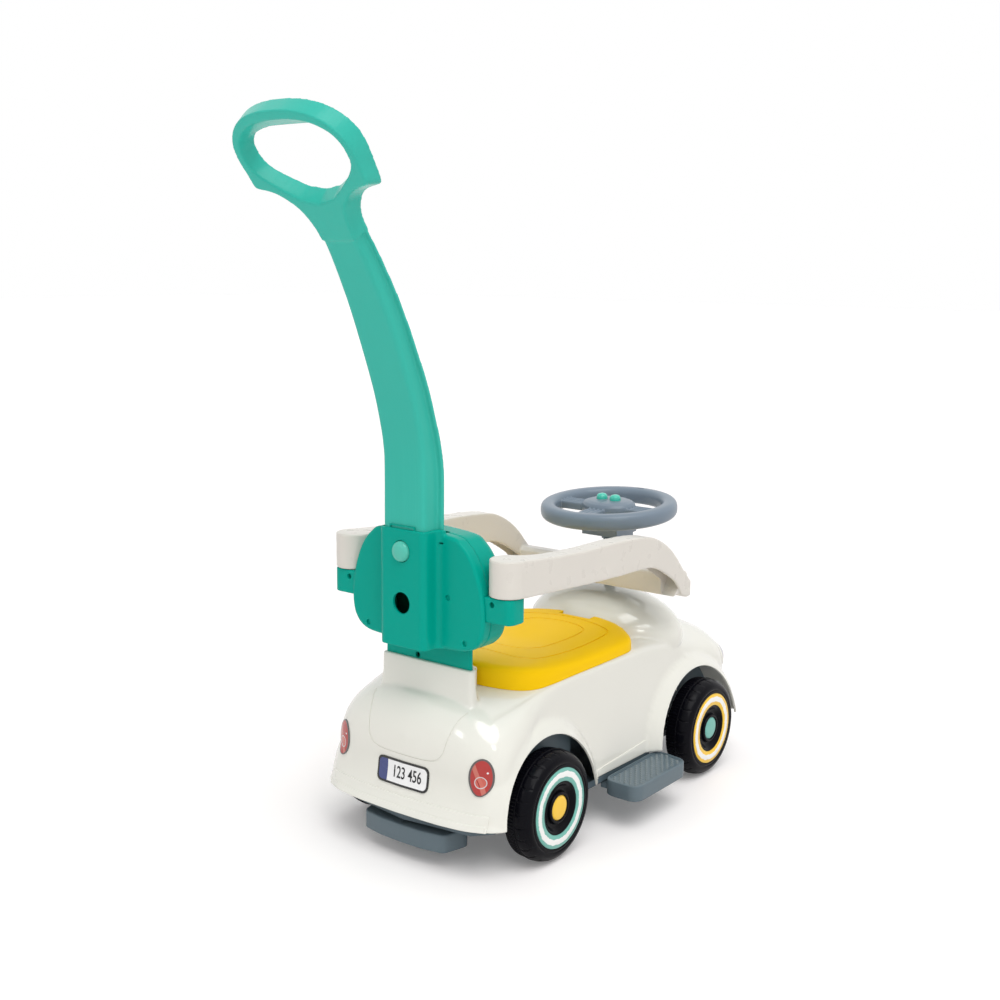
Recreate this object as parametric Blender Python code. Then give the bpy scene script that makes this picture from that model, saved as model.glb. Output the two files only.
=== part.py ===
import bmesh
import bpy
from math import cos, hypot, pi, radians, sin, tan
from mathutils import Matrix, Vector

# A child's ride-on car with a safety guard and a parent push handle.
# Metres. The front is -Y, the top +Z, the car's right side -X.
# Sizes are read from a base line under the seat: MID_Y and DATUM_Z move them to
# the middle of the length and to the floor.

FRONT_REACH = 0.330
REAR_REACH = 0.4418
MID_Y = (REAR_REACH - FRONT_REACH) / 2
DATUM_Z = 0.0118

FIT_GAP = 0.0003
WALL = 0.0026

WHEEL_R = 0.0652
WHEEL_OUT_X = 0.148
REAR_AXLE_Y = 0.1513
FRONT_AXLE_Y = -0.1977
AXLE_Z = WHEEL_R - DATUM_Z
AXLE_HALF = WHEEL_OUT_X - 0.006
AXLE_R = 0.004
AXLE_PLAY = 0.00006
RING_R = (0.0315, 0.047)
CAP_R = 0.0145

BODY_BOTTOM = 0.048
LEDGE_Z = 0.1865
REAR_ARCH = (0.1460, 0.0436, 0.0890)
FRONT_ARCH = (-0.1915, 0.0360, 0.0995)
FENDER_X = 0.1368
FENDER_LEAN = 0.12
FENDER_FALL = 0.055
FENDER_BAND = 0.045

DOME_Y = -0.160
DOME_Z = 0.180
DOME_SIZE = (0.115, 0.078, 0.058)
NECK_R = 0.021
NECK_TOP = 0.2385
COLUMN_R = 0.008
COLUMN_TILT = radians(4.0)

PILLAR_X = 0.0675
PILLAR_Y = (0.1900, 0.2165)
PILLAR_TOP = 0.2145
SOCKET_WALL = 0.0036

SEAT_HINGE = (0.1838, 0.2050)
HINGE_R = 0.0032
EAR_R = 0.0042
HINGE_HALF = 0.040
SEAT_WALL = 0.0028

TRAY_Z = (0.035, 0.0375)
TRAY_RIM_Z = 0.0475
STEP_Z = (0.0265, 0.0465)
STOPPER_Z = (0.009, 0.031)

WHEEL_RIM_R = 0.0815
RIM_SECTION = (0.0105, 0.0110)
STEER_Y = -0.160
STEER_Z = 0.342

SHELL_PLANE = 0.2205
PLATE_REAR = 0.234
RIB_REAR = 0.2575
RIB_HALF = 0.034
RIB_Z = (0.240, 0.375)
BACK_FRONT = 0.188
BUTTON_Z = 0.350
LOWER_HOLE_Z = 0.291
BUTTON_R = 0.0085

POLE_HALF = 0.0305
FLANGE_HALF = 0.0372
POLE_Y = (0.2262, 0.2308, 0.2540)
POLE_BOTTOM = 0.3028

LOOP_FOOT = (0.3575, 0.6960)
LOOP_TILT = radians(37.5)
LOOP_DEPTH = 0.020

LUG_Z = (0.2800, 0.3083)

GUARD_X = (0.1115, 0.137)
GUARD_END = (0.1158, 0.2120, 0.0212)


for old in list(bpy.data.objects):
    bpy.data.objects.remove(old, do_unlink=True)

parts = bpy.data.collections.new("kids_ride_on_car")
bpy.context.scene.collection.children.link(parts)
construction = bpy.data.collections.new("construction")
bpy.context.scene.collection.children.link(construction)


def paint(name, rgb, rough=0.35):
    mat = bpy.data.materials.new(name)
    mat.use_nodes = True
    shader = mat.node_tree.nodes["Principled BSDF"]
    shader.inputs["Base Color"].default_value = (*rgb, 1.0)
    shader.inputs["Roughness"].default_value = rough
    mat.diffuse_color = (*rgb, 1.0)
    return mat


def place(bm, name, where, pivot):
    bmesh.ops.recalc_face_normals(bm, faces=bm.faces)
    bmesh.ops.translate(bm, verts=bm.verts, vec=-Vector(pivot))
    mesh = bpy.data.meshes.new(name)
    bm.to_mesh(mesh)
    bm.free()
    obj = bpy.data.objects.new(name, mesh)
    obj.location = Vector(pivot) - Vector((0, MID_Y, -DATUM_Z))
    where.objects.link(obj)
    return obj


def part(name, bm, rgb, rough=0.35, pivot=(0, 0, 0)):
    obj = place(bm, name, parts, pivot)
    obj.data.materials.append(paint(name + "_plastic", rgb, rough))
    return obj


def shape(name, bm):
    obj = place(bm, name, construction, (0, 0, 0))
    obj.hide_render = True
    obj.display_type = "WIRE"
    return obj


def combine(obj, other, operation):
    if isinstance(other, bmesh.types.BMesh):
        other = shape(obj.name + "_" + operation.lower() + str(len(obj.modifiers)), other)
    boolean = obj.modifiers.new(other.name, "BOOLEAN")
    boolean.solver = "EXACT"
    boolean.operation = operation
    boolean.object = other
    return obj


def cut(obj, *others):
    for other in others:
        combine(obj, other, "DIFFERENCE")
    return obj


def join(obj, *others):
    for other in others:
        combine(obj, other, "UNION")
    return obj


def keep(obj, other):
    return combine(obj, other, "INTERSECT")


def box(low, high, bm=None):
    bm = bm or bmesh.new()
    low = Vector(low)
    high = Vector(high)
    fit = Matrix.Translation((low + high) / 2) @ Matrix.Diagonal((*(high - low), 1))
    bmesh.ops.create_cube(bm, size=1, matrix=fit)
    return bm


def rod(start, end, radius, end_radius=None, sides=24):
    bm = bmesh.new()
    start = Vector(start)
    end = Vector(end)
    along = (end - start).to_track_quat("Z", "Y").to_matrix().to_4x4()
    fit = Matrix.Translation((start + end) / 2) @ along
    bmesh.ops.create_cone(
        bm,
        cap_ends=True,
        segments=sides,
        radius1=radius,
        radius2=radius if end_radius is None else end_radius,
        depth=(end - start).length,
        matrix=fit,
    )
    return bm


def ball(centre, size, sides=24, turn=Matrix()):
    bm = bmesh.new()
    fit = Matrix.Translation(Vector(centre)) @ turn @ Matrix.Diagonal((*size, 1))
    bmesh.ops.create_uvsphere(bm, u_segments=sides, v_segments=sides // 2, radius=1, matrix=fit)
    return bm


def skin(rings, closed=False):
    """A solid through rings of points; closed joins the last ring to the first."""
    bm = bmesh.new()
    rows = [[bm.verts.new(p) for p in ring] for ring in rings]
    count = len(rows[0])
    last = len(rows) if closed else len(rows) - 1
    for i in range(last):
        near = rows[i]
        far = rows[(i + 1) % len(rows)]
        for k in range(count):
            bm.faces.new((near[k], near[(k + 1) % count], far[(k + 1) % count], far[k]))
    if not closed:
        bm.faces.new(rows[0])
        bm.faces.new(rows[-1])
    bmesh.ops.remove_doubles(bm, verts=bm.verts, dist=1e-6)
    return bm


def prism(outline, axis, low, high):
    """The outline, given in the two other axes, drawn out along axis."""

    def at(point, height):
        place3 = list(point)
        place3.insert(axis, height)
        return place3

    return skin([[at(p, low) for p in outline], [at(p, high) for p in outline]])


def rounded(points, radius, steps=4):
    out = []
    for i, point in enumerate(points):
        corner = Vector(point)
        back = Vector(points[i - 1]) - corner
        ahead = Vector(points[(i + 1) % len(points)]) - corner
        reach = min(radius / tan(back.angle(ahead) / 2), 0.49 * back.length, 0.49 * ahead.length)
        start = corner + back.normalized() * reach
        end = corner + ahead.normalized() * reach
        for k in range(steps + 1):
            t = k / steps
            out.append(start * (1 - t) ** 2 + corner * 2 * t * (1 - t) + end * t * t)
    return out


def inset(points, distance):
    """The outline moved inwards; its points run anticlockwise."""
    out = []
    for i, point in enumerate(points):
        here = Vector(point)
        back = (here - Vector(points[i - 1])).normalized()
        ahead = (Vector(points[(i + 1) % len(points)]) - here).normalized()
        inward = Vector((-back.y, back.x)) + Vector((-ahead.y, ahead.x))
        inward.normalize()
        lean = max(0.5, inward.dot(Vector((-back.y, back.x))))
        out.append(here + inward * distance / lean)
    return out


def both_halves(half):
    """A closed anticlockwise outline from the half at +X, listed from -Y (or -Z) up."""
    mirrored = [(-p[0], p[1]) for p in reversed(half) if abs(p[0]) > 1e-6]
    return list(half) + mirrored


def turned(profile, centre, axis, sides=32):
    """A solid of revolution; the profile is a closed loop of (radius, height)."""
    bm = bmesh.new()
    lean = Vector(axis).to_track_quat("Z", "Y").to_matrix()
    rows = []
    for radius, height in profile:
        count = sides if radius > 0 else 1
        angles = [2 * pi * k / sides for k in range(count)]
        spots = [Vector((radius * cos(a), radius * sin(a), height)) for a in angles]
        rows.append([bm.verts.new(Vector(centre) + lean @ spot) for spot in spots])
    for i, near in enumerate(rows):
        far = rows[(i + 1) % len(rows)]
        if len(near) == 1 and len(far) == 1:
            continue
        for k in range(sides):
            after = (k + 1) % sides
            corners = [near[k % len(near)], near[after % len(near)]]
            corners += [far[after % len(far)], far[k % len(far)]]
            bm.faces.new(list(dict.fromkeys(corners)))
    return bm


def smooth_path(points, per_span):
    """Points of a Catmull-Rom curve through the given ones."""
    out = []
    for i in range(len(points) - 1):
        a = Vector(points[max(i - 1, 0)])
        b = Vector(points[i])
        c = Vector(points[i + 1])
        d = Vector(points[min(i + 2, len(points) - 1)])
        for k in range(per_span):
            t = k / per_span
            swing = a * 2 - b * 5 + c * 4 - d
            turn = b * 3 - a - c * 3 + d
            out.append(b + ((c - a) * t + swing * t * t + turn * t**3) / 2)
    out.append(Vector(points[-1]))
    return out


# The body: each row holds the crown (y, z), the shoulder (x, y, z), the base (x, y)
# and how square the section is between crown and shoulder.
BODY_ROWS = [
    (-0.2250, 0.1832, 0.000, -0.3180, 0.104, 0.0000, -0.3300, 2.3),
    (-0.2232, 0.1836, 0.062, -0.3150, 0.104, 0.0750, -0.3275, 2.3),
    (-0.2195, 0.1842, 0.103, -0.3000, 0.106, 0.1150, -0.3150, 2.3),
    (-0.212, 0.1848, 0.116, -0.2680, 0.118, 0.1300, -0.2960, 2.5),
    (-0.185, 0.1856, 0.112, -0.2050, 0.140, 0.1260, -0.2050, 3.0),
    (-0.125, LEDGE_Z, 0.1125, -0.115, 0.166, 0.1215, -0.1150, 6.0),
    (-0.050, LEDGE_Z, 0.1125, -0.048, 0.172, 0.1212, -0.0450, 8.0),
    (0.020, LEDGE_Z, 0.1120, 0.020, 0.172, 0.1210, 0.0200, 8.0),
    (0.090, LEDGE_Z, 0.1115, 0.090, 0.171, 0.1215, 0.0900, 7.0),
    (0.140, LEDGE_Z, 0.1125, 0.142, 0.156, 0.1260, 0.1450, 4.0),
    (0.165, LEDGE_Z, 0.1225, 0.190, 0.125, 0.1335, 0.2000, 2.8),
    (0.178, LEDGE_Z, 0.1235, 0.2270, 0.100, 0.1345, 0.2375, 2.4),
    (0.184, LEDGE_Z, 0.1000, 0.2455, 0.100, 0.1120, 0.2560, 2.3),
    (0.186, LEDGE_Z, 0.0600, 0.2525, 0.103, 0.0690, 0.2670, 2.3),
    (0.187, LEDGE_Z, 0.0000, 0.2550, 0.105, 0.0000, 0.2700, 2.3),
]
CROWN_STEPS = 6
ROW_STEPS = 2
SIDE_STEPS = 3


def fender_reach(y, z):
    reach = 0.0
    for centre_y, centre_z, radius in (REAR_ARCH, FRONT_ARCH):
        beyond = max(hypot(y - centre_y, z - centre_z) - radius, 0.0) / FENDER_BAND
        here = FENDER_X - FENDER_LEAN * (z - BODY_BOTTOM) - FENDER_FALL * beyond**1.4
        tail = max(y - 0.232, 0.0)
        reach = max(reach, here - 0.35 * tail)
    return reach


def body_point(x, y, z):
    """The hull's point, drawn out sideways where a fender stands proud of it."""
    side = min(max((x - 0.080) / 0.030, 0.0), 1.0)
    side = side * side * (3 - 2 * side)
    out = fender_reach(y, z) - x
    soft = 0.004
    lift = (out + hypot(out, soft)) / 2 - soft / 2
    return x + max(lift, 0.0) * side, y, z


def body_volume(offset=0.0, skirt=0.0):
    """The closed outer form of the body, moved out by offset, with its base dropped by skirt."""
    half = []
    for row in smooth_path(BODY_ROWS, ROW_STEPS):
        crown_y, crown_z, sx, sy, sz, bx, by, square = row
        line = []
        for k in range(CROWN_STEPS + 1):
            angle = pi / 2 * k / CROWN_STEPS
            out = sin(angle) ** (2 / square)
            up = cos(angle) ** (2 / square) if k < CROWN_STEPS else 0.0
            line.append((sx * out, crown_y + (sy - crown_y) * out, sz + (crown_z - sz) * up))
        for k in range(1, SIDE_STEPS + 1):
            t = k / SIDE_STEPS
            ease = t * t
            line.append((sx + (bx - sx) * ease, sy + (by - sy) * ease, sz + (BODY_BOTTOM - sz) * t))
        half.append([body_point(*p) for p in line])
    loop = half + [[(-x, y, z) for x, y, z in line] for line in reversed(half[1:-1])]
    bm = bmesh.new()
    rows = [[bm.verts.new(p) for p in line] for line in loop]
    for i, near in enumerate(rows):
        far = rows[(i + 1) % len(rows)]
        for k in range(len(near) - 1):
            bm.faces.new((near[k], near[k + 1], far[k + 1], far[k]))
    rim = [row[-1] for row in rows]
    bmesh.ops.remove_doubles(bm, verts=bm.verts, dist=1e-5)
    bmesh.ops.recalc_face_normals(bm, faces=bm.faces)
    if max(bm.faces, key=lambda f: f.calc_center_median().z).normal.z < 0:
        bmesh.ops.reverse_faces(bm, faces=bm.faces)
    bm.normal_update()
    shifts = [(v, v.normal.copy()) for v in bm.verts]
    for vert, normal in shifts:
        vert.co += normal * offset
    for vert in rim:
        vert.co.z = BODY_BOTTOM
    if skirt:
        low = [bm.verts.new(v.co - Vector((0, 0, skirt))) for v in rim]
        for i, vert in enumerate(rim):
            after = (i + 1) % len(rim)
            bm.faces.new((vert, rim[after], low[after], low[i]))
        rim = low
    bm.faces.new(rim)
    bmesh.ops.triangulate(bm, faces=bm.faces)
    return bm


def dome(offset):
    bm = ball((0, 0, 0), (1, 1, 1), 32)
    for vert in bm.verts:
        ahead = 0.82 if vert.co.y < 0 else 1.0
        vert.co.x *= DOME_SIZE[0] + offset
        vert.co.y *= (DOME_SIZE[1] + offset) * ahead
        vert.co.z *= DOME_SIZE[2] + offset
    bmesh.ops.translate(bm, verts=bm.verts, vec=(0, DOME_Y, DOME_Z))
    return bm


def pillar_outline(grow, radius=0.006):
    """The rear pillar's plan: flat at the rear, its sides drawn in towards the seat."""
    front, rear = PILLAR_Y
    corners = [
        (-PILLAR_X + 0.018, front),
        (PILLAR_X - 0.018, front),
        (PILLAR_X, rear - 0.0095),
        (PILLAR_X, rear),
        (-PILLAR_X, rear),
        (-PILLAR_X, rear - 0.0095),
    ]
    return rounded(inset(corners, -grow), radius, 3)


def pillar_ring(grow, z):
    return [(*p, z) for p in pillar_outline(grow)]


WHITE = (0.80, 0.80, 0.74)
GREY = (0.14, 0.19, 0.23)
TEAL = (0.0, 0.34, 0.26)
LIGHT_TEAL = (0.09, 0.49, 0.40)
YELLOW = (0.92, 0.60, 0.02)
BLACK = (0.015, 0.015, 0.022)
CREAM = (0.83, 0.79, 0.74)
STEEL = (0.55, 0.55, 0.56)
RED = (0.43, 0.03, 0.03)

column_axis = Vector((0, sin(COLUMN_TILT), cos(COLUMN_TILT)))
column_foot = Vector((0, STEER_Y - (STEER_Z - AXLE_Z) * tan(COLUMN_TILT), AXLE_Z))


def on_column(height):
    return column_foot + column_axis * ((height - AXLE_Z) / column_axis.z)


skin_out = shape("body_skin_out", body_volume(FIT_GAP))
skin_raised = shape("body_skin_raised", body_volume(0.0013))
skin_groove = shape("body_skin_groove", body_volume(-0.0008))

body = part("body_shell", body_volume(), WHITE, 0.2)
join(body, dome(0))
pillar_rings = [
    pillar_ring(0.0160, 0.150),
    pillar_ring(0.0075, 0.166),
    pillar_ring(0.0025, 0.178),
    pillar_ring(0.0006, 0.190),
    pillar_ring(0.0, PILLAR_TOP - 0.001),
    pillar_ring(-0.001, PILLAR_TOP),
]
join(body, skin(pillar_rings))
join(body, rod(on_column(0.205), on_column(NECK_TOP), NECK_R))
bumper = shape("bumper_strip", box((-0.119, 0.215, BODY_BOTTOM + 0.001), (0.119, 0.300, 0.0665)))
keep(bumper, skin_raised)
join(body, bumper)
for side in (1, -1):
    rocker_outline = rounded([(-0.078, 0.0495), (0.045, 0.0495), (0.045, 0.0570), (-0.078, 0.0650)], 0.004)
    ends = sorted((side * 0.10, side * 0.17))
    strip = shape("rocker_strip_" + ("left" if side > 0 else "right"), prism(rocker_outline, 0, *ends))
    keep(strip, skin_raised)
    join(body, strip)
cut(body, body_volume(-WALL, 0.03), dome(-WALL))
for centre_y, centre_z, radius in (REAR_ARCH, FRONT_ARCH):
    cut(body, rod((-0.2, centre_y, centre_z), (0.2, centre_y, centre_z), radius, sides=40))
for side in (1, -1):
    low_x, high_x = sorted((side * (HINGE_HALF + 0.0005), side * (HINGE_HALF + 0.0065)))
    stem_y = (SEAT_HINGE[0] - EAR_R + 0.0004, SEAT_HINGE[0] + EAR_R - 0.0004)
    stem = box((low_x, stem_y[0], LEDGE_Z - 0.0025), (high_x, stem_y[1], SEAT_HINGE[1]))
    join(body, stem, rod((low_x, *SEAT_HINGE), (high_x, *SEAT_HINGE), EAR_R, sides=20))
    cut(body, rod((side * 0.038, *SEAT_HINGE), (side * 0.048, *SEAT_HINGE), 0.0023, sides=16))
seat_hole = rounded([(-0.086, -0.062), (0.086, -0.062), (0.086, 0.126), (-0.086, 0.126)], 0.02)
cut(body, prism(seat_hole, 2, 0.160, 0.195))
plug = pillar_outline(-SOCKET_WALL, 0.004)
cut(body, prism(inset(plug, -FIT_GAP), 2, 0.150, 0.230))
cut(body, rod(on_column(0.16), on_column(0.25), COLUMN_R + 0.0003))
lid_line_half = [
    (0.000, 0.1120),
    (0.040, 0.1135),
    (0.0555, 0.1230),
    (0.060, 0.1400),
    (0.068, 0.1650),
    (0.090, 0.1900),
]
lid_line = smooth_path(lid_line_half, 3)
band = [(p.x, p.y) for p in lid_line] + [(p.x - 0.0016, p.y + 0.0009) for p in reversed(lid_line[1:])]
band.append((0, 0.1135))
for side in (1, -1):
    outline = [(side * x, z) for x, z in band]
    groove = shape("trunk_line_" + ("left" if side > 0 else "right"), prism(outline, 1, 0.224, 0.290))
    cut(groove, skin_groove)
    cut(body, groove)

# The seat lid: a plan outline under a saddle-shaped crown, hollow below.
SEAT_HALF = [
    (0.000, -0.1010),
    (0.036, -0.0985),
    (0.068, -0.0880),
    (0.090, -0.0740),
    (0.1050, -0.0580),
    (0.1080, -0.020),
    (0.1080, 0.080),
    (0.1065, 0.110),
    (0.1010, 0.1350),
    (0.0885, 0.1550),
    (0.0670, 0.1690),
    (0.0400, 0.1765),
    (0.000, 0.1785),
]
SEAT_CROWN = [
    (-0.130, 0.2110),
    (-0.080, 0.2075),
    (-0.030, 0.2050),
    (0.040, 0.2045),
    (0.100, 0.2080),
    (0.150, 0.2110),
    (0.210, 0.2120),
]
SEAT_SQUARE = 3.6
SEAT_EDGE = 0.1090


def seat_crown(drop):
    rings = []
    for y, top in smooth_path(SEAT_CROWN, 2):
        ring = []
        for k in range(17):
            angle = pi * k / 16
            x = (SEAT_EDGE - drop) * abs(cos(angle)) ** (2 / SEAT_SQUARE) * (1 if cos(angle) > 0 else -1)
            z = 0.1905 + (top - drop - 0.1905) * abs(sin(angle)) ** (2 / SEAT_SQUARE)
            ring.append((x, y, z))
        ring.append((drop - SEAT_EDGE, y, 0.16))
        ring.append((SEAT_EDGE - drop, y, 0.16))
        rings.append(ring)
    return skin(rings)


seat_plan = both_halves(SEAT_HALF)
seat = part("seat_lid", prism(seat_plan, 2, LEDGE_Z - 0.0065, LEDGE_Z + 0.0435), YELLOW, 0.3, (0, *SEAT_HINGE))
keep(seat, seat_crown(0))
under = shape("seat_hollow", prism(inset(seat_plan, SEAT_WALL), 2, 0.170, 0.230))
keep(under, seat_crown(SEAT_WALL))
cut(seat, under)
cut(seat, dome(FIT_GAP + 0.0002), skin_out)
contour_half = [
    (0.000, -0.066),
    (0.050, -0.058),
    (0.076, -0.030),
    (0.078, 0.050),
    (0.068, 0.100),
    (0.030, 0.116),
    (0.000, 0.118),
]
contour = both_halves(smooth_path(contour_half, 2))
contour_ring = shape("seat_contour", prism(contour, 2, 0.180, 0.230))
cut(contour_ring, prism(inset(contour, 0.0016), 2, 0.170, 0.240), seat_crown(0.0007))
cut(seat, contour_ring)
hinge_y, hinge_z = SEAT_HINGE
join(seat, box((-HINGE_HALF, 0.1740, hinge_z - 0.0022), (HINGE_HALF, hinge_y, hinge_z + 0.0022)))
join(seat, rod((-HINGE_HALF, *SEAT_HINGE), (HINGE_HALF, *SEAT_HINGE), HINGE_R, sides=20))
join(seat, rod((-HINGE_HALF - 0.0060, *SEAT_HINGE), (HINGE_HALF + 0.0060, *SEAT_HINGE), 0.0020, sides=16))

bin_plan = rounded([(-0.0845, -0.0605), (0.0845, -0.0605), (0.0845, 0.1245), (-0.0845, 0.1245)], 0.0185)
storage = part("storage_bin", prism(bin_plan, 2, 0.078, LEDGE_Z + FIT_GAP + 0.0018), GREY, 0.5)
flange = rounded([(-0.0960, -0.0660), (0.0960, -0.0660), (0.0960, 0.1300), (-0.0960, 0.1300)], 0.022)
join(storage, prism(flange, 2, LEDGE_Z + FIT_GAP, LEDGE_Z + FIT_GAP + 0.0018))
cut(storage, prism(inset(bin_plan, 0.002), 2, 0.080, 0.200))

# The chassis tray with its axle saddles, wheel-well walls and steering boss.
tray_half = [
    (0.000, -0.3100),
    (0.060, -0.3080),
    (0.0885, -0.2920),
    (0.0885, -0.1080),
    (0.1150, -0.0880),
    (0.1150, 0.0620),
    (0.1085, 0.0760),
    (0.1085, 0.2230),
    (0.0900, 0.2440),
    (0.000, 0.2560),
]
tray_plan = both_halves(tray_half)
tray = part("chassis_tray", prism(tray_plan, 2, TRAY_Z[0], TRAY_RIM_Z), GREY, 0.55)
cut(tray, prism(inset(tray_plan, 0.0025), 2, TRAY_Z[1], 0.060))
for side in (1, -1):
    walls = (
        ((0.1060, 0.0780, TRAY_Z[0] + 0.001), (0.1084, 0.2220, 0.1300)),
        ((0.0860, -0.2880, TRAY_Z[0] + 0.001), (0.0884, -0.1120, 0.1250)),
        ((0.0840, REAR_AXLE_Y - 0.011, TRAY_Z[0] + 0.001), (0.1070, REAR_AXLE_Y + 0.011, 0.0640)),
        ((0.1120, -0.0840, 0.0400), (0.1206, 0.0580, BODY_BOTTOM - FIT_GAP)),
    )
    for low, high in walls:
        ends = sorted((side * low[0], side * high[0]))
        join(tray, box((ends[0], *low[1:]), (ends[1], *high[1:])))
join(tray, rod(on_column(TRAY_Z[0] + 0.001), on_column(0.0445), 0.015))
join(tray, box((-0.040, -0.045, TRAY_Z[0] + 0.001), (0.040, 0.115, 0.078 - FIT_GAP)))
cut(tray, box((-0.037, -0.042, 0.020), (0.037, 0.112, 0.0750)))
cut(tray, rod((-0.2, REAR_AXLE_Y, AXLE_Z), (0.2, REAR_AXLE_Y, AXLE_Z), AXLE_R + AXLE_PLAY, sides=24))
cut(tray, rod(on_column(0.0385), on_column(0.060), COLUMN_R + 0.00006, sides=32))
for side in (1, -1):
    slot = sorted((side * 0.080, side * 0.120))
    cut(tray, box((slot[0], FRONT_AXLE_Y - 0.034, 0.0435), (slot[1], FRONT_AXLE_Y + 0.034, 0.0640)))

step_half = [(0.1225, -0.0985), (0.1738, -0.0880), (0.1752, 0.0180), (0.1600, 0.0330), (0.1265, 0.0285)]
for side, name in ((1, "left_footrest"), (-1, "right_footrest")):
    plan = [(side * x, y) for x, y in step_half]
    plan = plan if side > 0 else list(reversed(plan))
    plan = rounded(plan, 0.011, 3)
    step = part(name, prism(plan, 2, *STEP_Z), GREY, 0.6)
    cut(step, prism(inset(plan, 0.0045), 2, STEP_Z[1] - 0.0012, 0.070))
    cut(step, prism(inset(plan, 0.0028), 2, 0.020, STEP_Z[1] - 0.0042))
    ribs = bmesh.new()
    for i in range(4):
        for j in range(8):
            spot = (side * (0.1330 + 0.0098 * i), -0.079 + 0.0131 * j)
            reach = 0.0030
            low = (spot[0] - reach, spot[1] - reach, STEP_Z[1] - 0.0030)
            high = (spot[0] + reach, spot[1] + reach, STEP_Z[1] - 0.0002)
            box(low, high, ribs)
    join(step, ribs)
    arm_x = sorted((side * 0.1153, side * 0.1280))
    join(step, box((arm_x[0], -0.0700, 0.0300), (arm_x[1], 0.0200, 0.0370)))

stopper_half = [
    (0.000, 0.1700),
    (0.050, 0.1700),
    (0.0700, 0.2200),
    (0.0610, 0.2560),
    (0.030, 0.2615),
    (0.000, 0.2625),
]
stopper_plan = both_halves(stopper_half)
stopper = part("rear_stopper", prism(stopper_plan, 2, *STOPPER_Z), GREY, 0.55)
cut(stopper, prism(inset(stopper_plan, 0.003), 2, 0.0, STOPPER_Z[1] - 0.003))
cut(stopper, box((-0.044, 0.236, STOPPER_Z[1] - 0.001), (0.044, 0.2385, STOPPER_Z[1] + 0.009)))
join(stopper, box((-0.045, 0.172, 0.020), (0.045, 0.180, TRAY_Z[0] - FIT_GAP)))

# The running gear: axles, hollow wheels with ribbed inner tread, rings and caps.
rear_rod = rod((-AXLE_HALF, REAR_AXLE_Y, AXLE_Z), (AXLE_HALF, REAR_AXLE_Y, AXLE_Z), AXLE_R)
part("rear_axle", rear_rod, STEEL, 0.3)
yoke = part("axle_yoke", rod(on_column(0.0450), on_column(0.0720), 0.0140), GREY, 0.5, tuple(column_foot))
join(yoke, box((-0.066, FRONT_AXLE_Y - 0.0095, 0.0470), (0.066, FRONT_AXLE_Y + 0.0095, 0.0630)))
axle_bore = rod((-0.2, FRONT_AXLE_Y, AXLE_Z), (0.2, FRONT_AXLE_Y, AXLE_Z), AXLE_R + AXLE_PLAY, sides=24)
cut(yoke, axle_bore)
front_rod = rod((-AXLE_HALF, FRONT_AXLE_Y, AXLE_Z), (AXLE_HALF, FRONT_AXLE_Y, AXLE_Z), AXLE_R)
part("front_axle", front_rod, STEEL, 0.3, tuple(column_foot))
column = rod(on_column(0.0388), on_column(0.3180), COLUMN_R, sides=32)
part("steering_column", column, GREY, 0.4, tuple(column_foot))
cut(yoke, rod(on_column(0.0200), on_column(0.0900), COLUMN_R + 0.0002, sides=32))

WHEEL_PROFILE = [
    (AXLE_R + AXLE_PLAY, -0.0335),
    (0.0110, -0.0335),
    (0.0110, -0.0100),
    (0.0460, -0.0060),
    (0.0560, -0.0350),
    (0.0620, -0.0345),
    (WHEEL_R, -0.0200),
    (WHEEL_R, -0.0140),
    (0.0625, -0.0050),
    (0.0575, -0.0006),
    (RING_R[1] + 0.0006, -0.0004),
    (RING_R[1] + 0.0002, -0.0014),
    (RING_R[0] - 0.0002, -0.0014),
    (RING_R[0] - 0.0008, -0.0004),
    (0.0280, -0.0020),
    (0.0240, -0.0062),
    (0.0190, -0.0064),
    (0.0180, -0.0014),
    (CAP_R + 0.0003, -0.0014),
    (CAP_R + 0.0003, -0.0052),
    (AXLE_R + AXLE_PLAY, -0.0052),
]
for side, x_name in ((1, "left"), (-1, "right")):
    for way, y_name in ((1, "rear"), (-1, "front")):
        hub = (side * WHEEL_OUT_X, REAR_AXLE_Y if way > 0 else FRONT_AXLE_Y, AXLE_Z)
        axis = (side, 0, 0)
        label = y_name + "_" + x_name
        wheel = part(label + "_wheel", turned(WHEEL_PROFILE, hub, axis, 30), BLACK, 0.25, hub)
        ring_rgb = LIGHT_TEAL if way > 0 else YELLOW
        cap_rgb = YELLOW if way > 0 else LIGHT_TEAL
        ring = [(RING_R[0], -0.0011), (RING_R[1], -0.0011), (RING_R[1], -0.0003), (RING_R[0], -0.0003)]
        part(label + "_ring", turned(ring, hub, axis, 30), ring_rgb, 0.3, hub)
        cap = [(0, -0.0012), (CAP_R - 0.0008, -0.0012), (CAP_R, -0.0018), (CAP_R, -0.0049), (0, -0.0049)]
        part(label + "_cap", turned(cap, hub, axis, 20), cap_rgb, 0.3, hub)

# The steering wheel: rim, spokes, oval hub, two horn pads and the box below.
steer_centre = on_column(STEER_Z)
steer_turn = column_axis.to_track_quat("Z", "Y").to_matrix()
rim_turn = [2 * pi * k / 10 for k in range(10)]
rim_profile = [(WHEEL_RIM_R + RIM_SECTION[0] * cos(a), RIM_SECTION[1] * sin(a)) for a in rim_turn]
rim = turned(rim_profile, steer_centre, column_axis, 32)
steer = part("steering_wheel", rim, GREY, 0.35, tuple(steer_centre))
wheel_fit = Matrix.Translation(steer_centre) @ steer_turn.to_4x4()
for angle in (radians(0), radians(180), radians(270)):
    reach = Matrix.Rotation(angle, 4, "Z")
    spoke = box((0.012, -0.0125, -0.0060), (WHEEL_RIM_R + 0.002, 0.0125, 0.0040))
    bmesh.ops.transform(spoke, matrix=wheel_fit @ reach, verts=spoke.verts)
    join(steer, spoke)
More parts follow.
